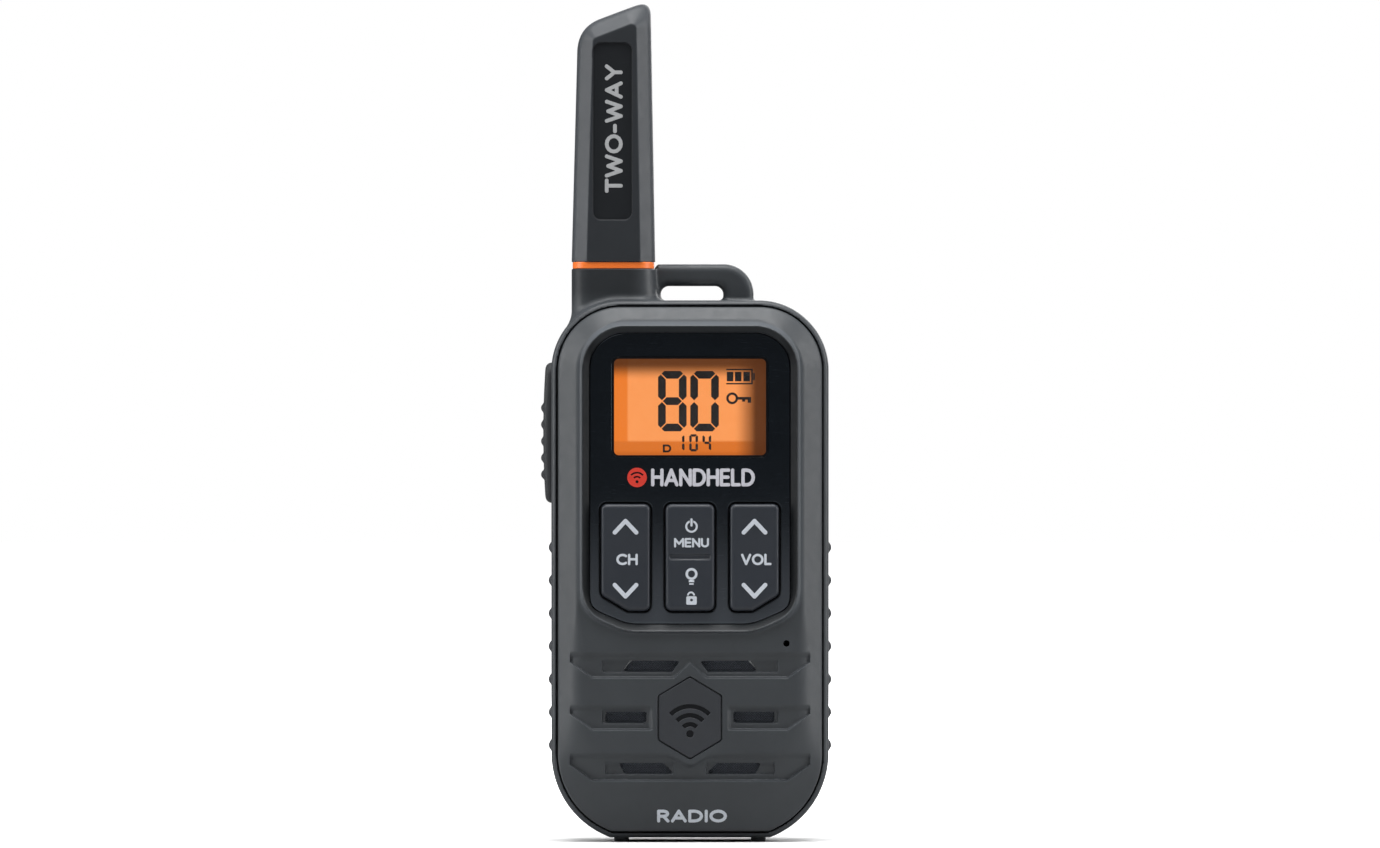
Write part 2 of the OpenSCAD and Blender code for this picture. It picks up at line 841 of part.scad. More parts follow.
module port_cover() {
    inner_x = half_w - 0.9;
    z0 = port_z - port_h / 2;
    color("#2c2e31") difference() {
        union() {
            translate([inner_x, port_y - port_depth / 2, z0])
                cube([0.85, cover_hinge_y - port_y + port_depth / 2, port_h]);
            translate([cover_hinge_x, cover_hinge_y, z0]) cylinder(r = 0.4, h = port_h);
            // Short plug that keeps dust out of the socket
            translate([inner_x - 0.5, -4, usb_z - 3.9]) cube([0.6, 2.2, 7.8]);
        }
        // Finger nick at the free edge
        translate([half_w - 0.3, port_y - port_depth / 2 - 1, port_z - 3]) cube([1, 1.6, 6]);
    }
}

module usb_socket() {
    color("#aeb2b6") along_x(half_w - 8.4, half_w - 1.7) translate([-2.9, usb_z]) difference() {
        round_rect(3.2, 9, 1.5);
        round_rect(2.6, 8.4, 1.2);
    }
    color("#17181a") along_x(half_w - 8.4, half_w - 3) translate([-2.9, usb_z])
        square([0.8, 6.6], center = true);
    color("#17181a") along_x(half_w - 9, half_w - 8.3) translate([-2.9, usb_z])
        round_rect(3.2, 9, 1.5);
}

module headset_jack() {
    color("#1b1c1e") difference() {
        union() {
            translate([half_w - 13, -4.5, jack_z - 2.9]) cube([10.6, 4.8, 5.8]);
            pin_x(jack_y, jack_z, 1.9, half_w - 2.5, half_w - 1.6);
        }
        pin_x(jack_y, jack_z, 1.3, half_w - 12, half_w);
    }
}

// ---- Battery bay ----

module battery_cells() {
    color("#3c7a4a") for (i = [-1 : 1]) translate([i * cell_pitch, cell_y, 0])
        mirror_cell(i == 0) {
            translate([0, 0, cell_bottom]) cylinder(r = cell_r, h = cell_len - 0.8);
            translate([0, 0, cell_bottom + cell_len - 0.9]) cylinder(r = 1.9, h = 0.9);
        }
}

// Turns a cell or contact upside down about the middle of the bay.
module mirror_cell(turn) {
    if (turn) translate([0, 0, 62.4]) mirror([0, 0, 1]) children();
    else children();
}

module battery_springs() {
    color("#c9ccd0") for (i = [-1 : 1]) translate([i * cell_pitch, cell_y, 0]) mirror_cell(i == 0)
        translate([0, 0, 8.1]) wire([for (k = [0 : 42])
            let (t = k / 42, a = 360 * 3.5 * t, r = 3.6 - 1.9 * t)
            [r * cos(a), r * sin(a), 2.7 * t]], 0.3, 5);
}

module battery_contacts() {
    color("#d8b25a") for (i = [-1 : 1]) translate([i * cell_pitch, 0, 0]) mirror_cell(i == 0) {
        translate([-4, cell_y - 4, 54.1]) cube([8, 8, 0.5]);
        translate([-4, cell_y - 4, 7.25]) cube([8, 8, 0.4]);
    }
}

// Two wires from the end contacts, through the bay's front wall, to the board
module battery_leads() {
    start = cell_y - 4.1;
    run = start - board_back_y - 0.1;
    color("#b3261e") for (s = [-1, 1])
        wire([for (t = [0 : 0.1 : 1])
            [s * cell_pitch, start - run * t, lead_z + 0.3 * sin(180 * t)]], lead_r, 6);
}

module battery_door() {
    latch_pocket_z = 8;
    y0 = back_y - door_t;
    color("#3a3c3f") difference() {
        along_y(y0, back_y) translate([-door_half_w, door_bottom])
            square([2 * door_half_w, door_top - door_bottom]);
        along_y(y0 + 0.5, back_y + 1) {
            translate([-6.1, latch_pocket_z]) square([12.2, 9]);
            translate([-3.1, door_bottom - 1]) square([6.2, 4]);
        }
        // Grip lines
        for (i = [0 : 3]) translate([-9, back_y - 0.4, 44 + 3 * i]) cube([18, 1, 1.2]);
    }
}

module door_latch() {
    y0 = back_y - door_t + 0.55;
    color("#2a2c2f") {
        along_y(y0, back_y - 0.1) {
            translate([-6, 8.1]) square([12, 6.6]);
            translate([-3, 4.8]) square([6, 3.4]);
        }
        for (i = [0 : 2]) translate([-4, back_y - 0.2, 9.2 + 1.8 * i]) cube([8, 0.5, 0.8]);
    }
}

// ---- Belt clip ----

module clip_base() {
    color("#2b2d30") difference() {
        union() {
            along_y(back_y + loose, back_y + 1.5) translate([-8.2, 84])
                square([16.4, 19.4]);
            mirrored() along_x(6.2, 8.2) {
                translate([back_y + loose, clip_axis_z - 3])
                    square([4 - loose, 6]);
                translate([clip_axis_y, clip_axis_z]) circle(r = 2.2);
            }
        }
        pin_x(clip_axis_y, clip_axis_z, clip_bore_r, -10, 10);
        for (p = clip_screws_at) {
            pin_y(p[0], p[1], 1.1, 14, 18);
            pin_y(p[0], p[1], 2, back_y + 0.8, 18);
        }
    }
}

module clip_lever() {
    outer_y = clip_inner_y + clip_t;
    color("#2f3134") difference() {
        union() {
            along_y(clip_inner_y, outer_y) translate([0, (clip_tip_z + 104.6) / 2])
                round_rect(clip_w, 104.6 - clip_tip_z, 3);
            // Tip that turns in towards the body
            intersection() {
                along_y(back_y + 0.5, outer_y) translate([0, (clip_tip_z + 104.6) / 2])
                    round_rect(clip_w, 104.6 - clip_tip_z, 3);
                along_x(-clip_w, clip_w) polygon([
                    [back_y + 0.5, clip_tip_z + 2.4], [clip_inner_y - 2, clip_tip_z + 0.2],
                    [outer_y, clip_tip_z], [outer_y, clip_tip_z + 8],
                    [clip_inner_y, clip_tip_z + 8], [back_y + 1.6, clip_tip_z + 4]
                ]);
            }
            mirrored() along_x(3, 5.95) {
                translate([clip_axis_y, clip_axis_z]) circle(r = 2.2);
                translate([clip_axis_y, clip_axis_z - 2.2]) square([2.7, 4.4]);
            }
        }
        pin_x(clip_axis_y, clip_axis_z, clip_bore_r, -10, 10);
    }
}

module clip_pin() {
    color("#b4b7ba") pin_x(clip_axis_y, clip_axis_z, clip_pin_r, -8.4, 8.4);
}

// Torsion spring round the pin, one leg on the base and one on the lever
module clip_spring() {
    turns = 5;
    coil_r = 1.75;
    color("#c2c5c8") translate([0, clip_axis_y, clip_axis_z]) wire(concat(
        [[-2.4, -2.1, -5], [-2.4, -1.9, -2.4]],
        [for (i = [0 : turns * 14]) let (a = 180 + 360 * i / 14)
            [-2.4 + 4.8 * i / (turns * 14), coil_r * cos(a), coil_r * sin(a)]],
        [[2.4, -1.2, 2.2], [2.4, 1.6, 5.2]]
    ), 0.28, 5);
}

module clip_screws() {
    color("#9a9da1") for (p = clip_screws_at) {
        pin_y(p[0], p[1], 1, 9.4, back_y + 1);
        pin_y(p[0], p[1], 1.9, back_y + 0.85, back_y + 1.5);
    }
}

placed() front_shell();
placed() rear_shell();
placed() seam_gasket();
placed() fascia_panel();
placed() display_window();
placed() badge_plate();
placed() speaker_cloth();
placed() speaker_basket();
placed() speaker_cone();
placed() speaker_magnet();
placed() speaker_leads();
placed() channel_key();
placed() menu_key();
placed() volume_key();
placed() keypad_mat();
placed() key_domes();
placed() display_glass();
placed() display_backlight();
placed() display_frame();
placed() display_connector();
placed() main_board();
placed() rf_shield();
placed() board_chips();
placed() board_screws();
placed() microphone();
placed() microphone_boot();
placed() microphone_leads();
placed() talk_button();
placed() talk_plunger();
placed() talk_switch();
placed() antenna_sleeve();
placed() antenna_ring();
placed() antenna_core();
placed() antenna_coil();
placed() antenna_feed();
placed() torch_lens();
placed() torch_led();
placed() port_cover();
placed() usb_socket();
placed() headset_jack();
placed() battery_cells();
placed() battery_springs();
placed() battery_contacts();
placed() battery_leads();
placed() battery_door();
placed() door_latch();
placed() clip_base();
placed() clip_lever();
placed() clip_pin();
placed() clip_spring();
placed() clip_screws();
placed() shell_screws();
placed() left_grip();
placed() right_grip();
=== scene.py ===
"""Looks of a handheld two-way radio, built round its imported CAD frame.

Shapes are distance fields: functions of x, y and z in millimetres, in the frame's own axes, that are negative
inside the piece. build() turns a field into a closed mesh and keeps its creases sharp.
"""

import json
import math
from functools import reduce

import bpy
import numpy as np
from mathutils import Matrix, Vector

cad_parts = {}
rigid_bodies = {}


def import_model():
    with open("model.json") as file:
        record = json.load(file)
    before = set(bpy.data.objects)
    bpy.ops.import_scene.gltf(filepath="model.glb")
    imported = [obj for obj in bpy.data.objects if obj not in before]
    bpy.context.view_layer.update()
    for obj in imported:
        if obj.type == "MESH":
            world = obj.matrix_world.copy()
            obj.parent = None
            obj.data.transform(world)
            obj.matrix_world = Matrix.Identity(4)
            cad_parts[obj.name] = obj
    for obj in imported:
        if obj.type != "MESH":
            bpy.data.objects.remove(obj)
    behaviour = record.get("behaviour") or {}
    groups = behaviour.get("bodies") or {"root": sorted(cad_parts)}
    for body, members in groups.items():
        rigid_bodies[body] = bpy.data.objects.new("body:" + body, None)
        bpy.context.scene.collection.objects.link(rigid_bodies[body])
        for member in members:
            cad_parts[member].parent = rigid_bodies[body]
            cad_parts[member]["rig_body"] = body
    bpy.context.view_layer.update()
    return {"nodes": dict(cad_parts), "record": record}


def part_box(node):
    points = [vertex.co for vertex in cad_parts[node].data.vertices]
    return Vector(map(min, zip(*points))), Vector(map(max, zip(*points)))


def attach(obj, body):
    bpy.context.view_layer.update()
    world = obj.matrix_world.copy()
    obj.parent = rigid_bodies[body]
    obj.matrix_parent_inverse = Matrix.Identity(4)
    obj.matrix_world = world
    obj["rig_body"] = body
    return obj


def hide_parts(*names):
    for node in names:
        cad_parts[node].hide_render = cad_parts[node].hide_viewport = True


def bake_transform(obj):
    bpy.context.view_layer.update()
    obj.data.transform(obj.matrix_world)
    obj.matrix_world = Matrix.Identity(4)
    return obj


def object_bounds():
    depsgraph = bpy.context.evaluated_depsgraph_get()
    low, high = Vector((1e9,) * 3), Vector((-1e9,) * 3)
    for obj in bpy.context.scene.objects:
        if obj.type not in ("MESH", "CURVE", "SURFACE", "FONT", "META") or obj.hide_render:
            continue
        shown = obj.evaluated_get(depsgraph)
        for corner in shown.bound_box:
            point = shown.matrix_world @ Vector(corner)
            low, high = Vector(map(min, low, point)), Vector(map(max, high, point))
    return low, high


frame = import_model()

MM = 0.001
COARSE = 1.0  # voxels grow by this much while trying things
SLOTS = {row["node"]: row["material_slot"] for row in frame["record"]["subparts"]}


class Box:
    """Where a CAD node is, in millimetres: its lowest and highest corner, middle and half size."""

    def __init__(self, node):
        lo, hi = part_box(node)
        self.lo, self.hi = np.array(lo) / MM, np.array(hi) / MM
        self.mid, self.half = (self.lo + self.hi) / 2, (self.hi - self.lo) / 2


# ---- Sizes taken from the frame ----

REAR = Box("rear_shell")
FRONT = Box("front_shell")
FASCIA = Box("fascia_panel")
HALF_W = REAR.hi[0]
SEAM = HALF_W - FRONT.hi[0]  # how far the front shell's edge stands in from the rear shell's
BODY_TOP = FRONT.hi[2] + SEAM
BASE_Z = FRONT.lo[2] - SEAM
BODY_BOTTOM = BASE_Z - 1.1  # where the bottom corners' arcs would end without the flat base
TOP_R, BOTTOM_R = 14.0, 18.0

CREST = FRONT.lo[1]  # front of the bezel
FACE = CREST + 0.8
SEAT = FASCIA.hi[1] + 0.05
SEAT_BACK = SEAT + 1.2
RIM = REAR.lo[1]
LEDGE = RIM + 2.8
FLANGE = LEDGE - 0.6
BACK = REAR.hi[1]
BACK_EDGE = BACK - 5.0  # where the back edges start to slope in
WALL = 2.0

FASCIA_TOP_R, FASCIA_BOTTOM_R = 7.4, 0.5
FASCIA_RUN, FASCIA_RISE = 7.8, 3.3  # the cut across each bottom corner, along x and z
BEZEL_EASE = 4.8  # how far the bezel's bottom corners are rounded

DISPLAY, GLASS = Box("display_window"), Box("display_glass")
WINDOW_EDGE = 0.45  # the window's border behind the fascia
DISPLAY_HALF_W = DISPLAY.half[0] - WINDOW_EDGE
DISPLAY_HALF_H = DISPLAY.half[2] - WINDOW_EDGE

KEY_FLANGE = 0.8
KEY_GAP = 0.35
KEY_BAR_R = 0.8
KEY = Box("volume_key")
KEY_PITCH, _, KEY_Z = KEY.mid
KEY_HALF_W = KEY.half[0] - KEY_FLANGE
KEY_HALF_H = KEY.half[2] - KEY_FLANGE
KEYS = {"channel_key": -1, "menu_key": 0, "volume_key": 1}  # side: -1 left, 0 middle, 1 right

BADGE = Box("badge_plate")

SLEEVE = Box("antenna_sleeve")
RING = Box("antenna_ring")
ANTENNA_X, ANTENNA_Y, _ = RING.mid
ANTENNA_HALF_W = 8.4  # half width at the ring
ANTENNA_HALF_D = SLEEVE.half[1]
COLLAR_TOP = RING.lo[2] - 0.025
ANTENNA_BORE = 3.6
LABEL_X, LABEL_Z = ANTENNA_X - 0.15, 142.6  # middle of the sunken field for the word on the antenna
LABEL_HALF_W, LABEL_HALF_H, LABEL_R = 3.9, 17.8, 1.6
LABEL_DEPTH = 0.5

TALK = Box("talk_button")
GRIP = Box("right_grip")
DOOR = Box("battery_door")
LATCH = Box("door_latch")
CLIP_BASE = Box("clip_base")
CLIP = Box("clip_lever")
PIN = Box("clip_pin")
COVER = Box("port_cover")
LENS = Box("torch_lens")
_, PIN_Y, PIN_Z = PIN.mid
PIN_BORE = 1.25
CELLS = Box("battery_cells")
CELL_PITCH, CELL_R = 10.6, 5.1
CLOTH = Box("speaker_cloth")
MIC = Box("microphone")
USB = Box("usb_socket")
JACK = Box("headset_jack")

# Places of screws and posts in the x-z plane. Each one has a twin on the left.
SHELL_SCREWS = ((20.5, 100.5), (21.5, 14.0))
BOARD_POSTS = ((21.3, 47.0), (21.3, 66.0))
CLIP_SCREWS = ((5.0, 88.0),)


# ---- Field tools ----

DIAGONAL = 0.7071  # scales the sum or difference of two distances back to a distance


def smax(a, b, k):
    """The larger of a and b, with the crease between them rounded over a width of about k."""
    h = np.clip(0.5 + 0.5 * (a - b) / k, 0, 1)
    return b + (a - b) * h + k * h * (1 - h)


def smin(a, b, k):
    """The smaller of a and b, rounded in the same way."""
    return -smax(-a, -b, k)


def join(*fields):
    """All the pieces together."""
    return reduce(np.minimum, fields)


def common(*fields):
    """What all the pieces share."""
    return reduce(np.maximum, fields)


def cut(field, *tools):
    """The field with the tools taken away."""
    return reduce(lambda f, tool: np.maximum(f, -tool), tools, field)


def soft(v, lo, hi):
    """0 below lo, 1 above hi and a smooth step between."""
    t = np.clip((v - lo) / (hi - lo), 0, 1)
    return t * t * (3 - 2 * t)


def slab(v, lo, hi):
    """Everything with v between lo and hi."""
    return np.maximum(lo - v, v - hi)


def disc(a, b, r):
    """Circle about the origin."""
    return np.sqrt(a * a + b * b) - r


def rect(a, b, half_a, half_b, r=0.0):
    """Rounded rectangle about the origin."""
    qa, qb = np.abs(a) - half_a + r, np.abs(b) - half_b + r
    outside = np.sqrt(np.maximum(qa, 0) ** 2 + np.maximum(qb, 0) ** 2)
    return outside + np.minimum(np.maximum(qa, qb), 0) - r


def stroke(a, b, start, end, r):
    """A line from start to end with round ends."""
    da, db = end[0] - start[0], end[1] - start[1]
    t = np.clip(((a - start[0]) * da + (b - start[1]) * db) / (da * da + db * db), 0, 1)
    return disc(a - start[0] - t * da, b - start[1] - t * db, r)


def polygon(a, b, points, r=0.0):
    """A polygon whose corners are rounded by r."""
    if r:
        points = inset(points, r)
    nearest, sign = np.inf, 1.0
    for (ax, az), (bx, bz) in zip(points, points[1:] + points[:1]):
        ex, ez = bx - ax, bz - az
        wx, wz = a - ax, b - az
        t = np.clip((wx * ex + wz * ez) / (ex * ex + ez * ez), 0, 1)
        nearest = np.minimum(nearest, (wx - ex * t) ** 2 + (wz - ez * t) ** 2)
        above, below = b >= az, b < bz
        left = ex * wz > ez * wx
        flip = (above & below & left) | (~above & ~below & ~left)
        sign = np.where(flip, -sign, sign)
    return sign * np.sqrt(nearest) - r


def inset(points, r):
    """The polygon's corners moved in by r, whichever way round it goes."""
    n = len(points)
    area = sum(points[i - 1][0] * points[i][1] - points[i][0] * points[i - 1][1] for i in range(n))
    turn = 1 if area > 0 else -1
    moved = []
    for i in range(n):
        before, here, after = (np.array(points[j % n], float) for j in (i - 1, i, i + 1))
        u, v = here - before, after - here
        nu = turn * np.array([-u[1], u[0]]) / np.linalg.norm(u)
        nv = turn * np.array([-v[1], v[0]]) / np.linalg.norm(v)
        moved.append(tuple(here + r * (nu + nv) / (1 + nu @ nv)))
    return moved


class Sheet:
    """A field of two coordinates, worked out once on a fine grid and read back by interpolation."""

    STEP = 0.1

    def __init__(self, field, lo, hi):
        self.lo = lo
        a, b = (np.arange(lo[i], hi[i] + self.STEP, self.STEP, dtype=np.float32) for i in (0, 1))
        self.values = np.array(np.broadcast_to(field(a[:, None], b[None, :]), (len(a), len(b))))

    def __call__(self, a, b):
        u = np.clip((a - self.lo[0]) / self.STEP, 0, self.values.shape[0] - 1.001)
        v = np.clip((b - self.lo[1]) / self.STEP, 0, self.values.shape[1] - 1.001)
        i, j = u.astype(int), v.astype(int)
        u, v = u - i, v - j
        low = self.values[i, j] * (1 - u) + self.values[i + 1, j] * u
        high = self.values[i, j + 1] * (1 - u) + self.values[i + 1, j + 1] * u
        return low * (1 - v) + high * v


def sheet_over(box, field):
    """The field as a Sheet over the front of a box, with 2 mm to spare."""
    return Sheet(field, box.lo[[0, 2]] - 2, box.hi[[0, 2]] + 2)


# ---- From field to mesh ----


def gradient(field, points):
    """Unit normals of the field at points."""
    h = 0.01
    slopes = []
    for axis in range(3):
        ahead, behind = points.copy(), points.copy()
        ahead[:, axis] += h
        behind[:, axis] -= h
        slopes.append(field(*ahead.T) - field(*behind.T))
    slopes = np.stack(slopes, 1)
    return slopes / np.maximum(np.linalg.norm(slopes, axis=1, keepdims=True), 1e-12)


def contour(field, lo, hi, step):
    """Vertices and quads of the field's zero surface: dual contouring on a grid of cells."""
    lo, hi = np.array(lo, float), np.array(hi, float)
    step = np.broadcast_to(np.array(step, float) * COARSE, 3)
    shape = tuple(np.ceil((hi - lo) / step).astype(int) + 1)
    x, y, z = (
        (lo[i] + step[i] * np.arange(shape[i])).reshape([-1 if j == i else 1 for j in range(3)])
        for i in range(3)
    )
    grid = np.array(np.broadcast_to(field(x, y, z), shape), np.float32)
    inside = grid < 0
    cells = np.array(shape) - 1
    strides = np.array([cells[1] * cells[2], cells[2], 1])
    crossings, neighbours, quads = [], [], []
    for axis in range(3):
        b, c = (axis + 1) % 3, (axis + 2) % 3
        near, far = [slice(None)] * 3, [slice(None)] * 3
        near[axis], far[axis] = slice(None, -1), slice(1, None)
        at = np.argwhere(inside[tuple(near)] != inside[tuple(far)])
        keep = (at[:, b] > 0) & (at[:, c] > 0) & (at[:, b] < cells[b]) & (at[:, c] < cells[c])
        at = at[keep]
        ahead = at.copy()
        ahead[:, axis] += 1
        first, second = grid[tuple(at.T)], grid[tuple(ahead.T)]
        point = at.astype(float)
        point[:, axis] += first / (first - second)
        crossings.append(lo + point * step)
        base = at @ strides
        around = np.stack(
            [base - strides[b] - strides[c], base - strides[c], base, base - strides[b]], 1
        )
        neighbours.append(around)
        quads.append(np.where((first < 0)[:, None], around, around[:, ::-1]))
    crossings, neighbours = np.concatenate(crossings), np.concatenate(neighbours)
    quads = np.concatenate(quads)

    used = np.zeros(int(np.prod(cells)), bool)
    used[neighbours.ravel()] = True
    index = np.cumsum(used) - 1
    count = int(used.sum())
    owner = index[neighbours]

    def total(values):
        return sum(np.bincount(owner[:, k], values, count) for k in range(4))

    normals = gradient(field, crossings)
    local = crossings - lo
    number = total(np.ones(len(crossings)))
    middle = np.stack([total(local[:, i]) for i in range(3)], 1) / number[:, None]
    along = (normals * local).sum(1)
    matrix = np.empty((count, 3, 3))
    side = np.empty((count, 3))
    for i in range(3):
        side[:, i] = total(normals[:, i] * along)
        for j in range(i, 3):
            matrix[:, i, j] = matrix[:, j, i] = total(normals[:, i] * normals[:, j])
    side -= np.einsum("nij,nj->ni", matrix, middle)
    matrix += np.eye(3) * (0.05 * number)[:, None, None]
    shift = np.linalg.solve(matrix, side[:, :, None])[:, :, 0]
    points = middle + np.clip(shift, -0.6 * step, 0.6 * step)
    return points + lo, index[quads]


def mesh_from(name, points, faces):
    """A mesh in metres from points in millimetres."""
    mesh = bpy.data.meshes.new(name)
    mesh.vertices.add(len(points))
    mesh.vertices.foreach_set("co", (np.asarray(points) * MM).astype(np.float32).ravel())
    sides = faces.shape[1]
    mesh.loops.add(faces.size)
    mesh.loops.foreach_set("vertex_index", faces.astype(np.int32).ravel())
    mesh.polygons.add(len(faces))
    mesh.polygons.foreach_set("loop_start", np.arange(0, faces.size, sides, dtype=np.int32))
    mesh.update(calc_edges=True)
    mesh.validate()
    return mesh


def thinned(mesh, share):
    """The mesh with its triangles reduced to a share of what they were."""
    helper = bpy.data.objects.new("helper", mesh)
    bpy.context.scene.collection.objects.link(helper)
    modifier = helper.modifiers.new("thin", "DECIMATE")
    modifier.ratio = share
    modifier.use_collapse_triangulate = True
    depsgraph = bpy.context.evaluated_depsgraph_get()
    result = bpy.data.meshes.new_from_object(helper.evaluated_get(depsgraph))
    bpy.data.objects.remove(helper)
    return result


def shade_by_field(mesh, field):
    """Corner normals from the field, read a little way in from each corner, so creases stay crisp."""
    count = len(mesh.loops)
    corners, starts = np.zeros(count, np.int32), np.zeros(len(mesh.polygons), np.int32)
    points = np.zeros(len(mesh.vertices) * 3, np.float32)
    mesh.loops.foreach_get("vertex_index", corners)
    mesh.polygons.foreach_get("loop_start", starts)
    mesh.vertices.foreach_get("co", points)
    points = points.reshape(-1, 3).astype(float) / MM
    sizes = np.diff(np.append(starts, count))
    at = points[corners]
    centres = np.add.reduceat(at, starts, axis=0) / sizes[:, None]
    near = at + 0.12 * (np.repeat(centres, sizes, axis=0) - at)
    mesh.polygons.foreach_set("use_smooth", np.ones(len(mesh.polygons), bool))
    mesh.normals_split_custom_set(gradient(field, near))


def add_piece(name, mesh, body, material, slot):
    """Puts a mesh in the scene, on a body unless that is None."""
    piece = bpy.data.objects.new(name, mesh)
    bpy.context.scene.collection.objects.link(piece)
    mesh.materials.append(material)
    if body:
        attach(piece, body)
    return piece


def build(name, node, field, step, share=0.3, finish=None, print_box=None):
    """Builds the field's mesh, thinned to a share of its triangles, as a piece on a CAD node's body.

    It stands in for the node, unless it is a print, which has a box of its own and lies on the node.
    """
    lo, hi = print_box or (Box(node).lo, Box(node).hi)
    points, quads = contour(field, np.array(lo) - 0.9, np.array(hi) + 0.9, step)
    mesh = mesh_from(name, points, quads)
    if share < 1:
        mesh = thinned(mesh, share)
        mesh.name = name
    shade_by_field(mesh, field)
    slot = SLOTS[node]
    piece = add_piece(name, mesh, frame["nodes"][node]["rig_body"], finish or FINISHES[slot], slot)
    if not print_box:
        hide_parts(node)


# ---- Materials ----


class Paint:
    """A material's node tree, written with short calls. Lengths are in millimetres."""

    def __init__(self, name):
        self.material = bpy.data.materials.new(name)
        self.material.use_nodes = True
        self.tree = self.material.node_tree
        self.tree.nodes.clear()
        self.output = self.tree.nodes.new("ShaderNodeOutputMaterial")
        coords = self.tree.nodes.new("ShaderNodeTexCoord").outputs["Object"]
        self.mm = self.add("ShaderNodeMapping", {"Vector": coords, "Scale": (1 / MM,) * 3}, "Vector")

    def add(self, kind, inputs, output=0, **settings):
        node = self.tree.nodes.new(kind)
        for key, value in settings.items():
            setattr(node, key, value)
        for key, value in inputs.items():
            if isinstance(value, bpy.types.NodeSocket):
                self.tree.links.new(value, node.inputs[key])
            else:
                node.inputs[key].default_value = value
        return node.outputs[output]

    def noise(self, scale, detail=2.0, roughness=0.5, at=None):
        inputs = {"Vector": at or self.mm, "Scale": scale, "Detail": detail, "Roughness": roughness}
        return self.add("ShaderNodeTexNoise", inputs, "Fac")

    def stretched(self, scale):
        return self.add("ShaderNodeMapping", {"Vector": self.mm, "Scale": scale}, "Vector")

    def math(self, operation, a, b=0.0):
        return self.add("ShaderNodeMath", {0: a, 1: b}, operation=operation)

    def plus(self, a, b):
        return self.math("ADD", a, b)

    def minus(self, a, b):
        return self.math("SUBTRACT", a, b)

    def times(self, a, b):
        return self.math("MULTIPLY", a, b)

    def span(self, value, lo, hi, to_lo=0.0, to_hi=1.0, smooth=False):
        kind = "SMOOTHSTEP" if smooth else "LINEAR"
        return self.add(
            "ShaderNodeMapRange",
            {"Value": value, "From Min": lo, "From Max": hi, "To Min": to_lo, "To Max": to_hi},
            interpolation_type=kind,
        )

    def uneven(self, scale, lo, hi, detail=2.0):
        """A value that wanders between lo and hi."""
        return self.span(self.noise(scale, detail), 0.3, 0.7, lo, hi)

    def mix(self, share, a, b, blend="MIX"):
        return self.add("ShaderNodeMix", {0: share, 6: a, 7: b}, 2, data_type="RGBA", blend_type=blend)

    def axis(self, name):
        return self.add("ShaderNodeSeparateXYZ", {"Vector": self.mm}, name)

    def outline(self, centre, half_w, half_h, r):
        """Distance outside a rounded rectangle in the x-z plane, and 0 well inside it."""
        x = self.math("ABSOLUTE", self.minus(self.axis("X"), centre[0]))
        z = self.math("ABSOLUTE", self.minus(self.axis("Z"), centre[1]))
        x = self.math("MAXIMUM", self.minus(x, half_w - r), 0.0)
        z = self.math("MAXIMUM", self.minus(z, half_h - r), 0.0)
        corner = self.add("ShaderNodeCombineXYZ", {"X": x, "Z": z})
        away = self.add("ShaderNodeVectorMath", {0: corner}, "Value", operation="LENGTH")
        return self.minus(away, r)

    def bump(self, height, distance):
        return self.add("ShaderNodeBump", {"Height": height, "Distance": distance * MM, "Strength": 1.0})

    def edges(self, radius):
        """About 0 on flat and gently curved areas and up to 1 on tight edges."""
        rounded = self.add("ShaderNodeBevel", {"Radius": radius * MM}, samples=4)
        plain = self.add("ShaderNodeNewGeometry", {}, "Normal")
        agree = self.add("ShaderNodeVectorMath", {0: rounded, 1: plain}, "Value", operation="DOT_PRODUCT")
        return self.span(agree, 0.995, 0.88)

    def surface(self, **inputs):
        named = {key.replace("_", " "): value for key, value in inputs.items()}
        shader = self.add("ShaderNodeBsdfPrincipled", named)
        self.tree.links.new(shader, self.output.inputs["Surface"])
        return self.material


def rgb(*display):
    """Linear colour from red, green and blue display values of 0 to 255."""
    values = [v / 255 for v in display]
    return tuple(v / 12.92 if v < 0.0404 else ((v + 0.055) / 1.055) ** 2.4 for v in values) + (1.0,)


def shade(colour, factor):
    """The colour made darker or paler."""
    return tuple(min(1.0, c * factor) for c in colour[:3]) + (1.0,)


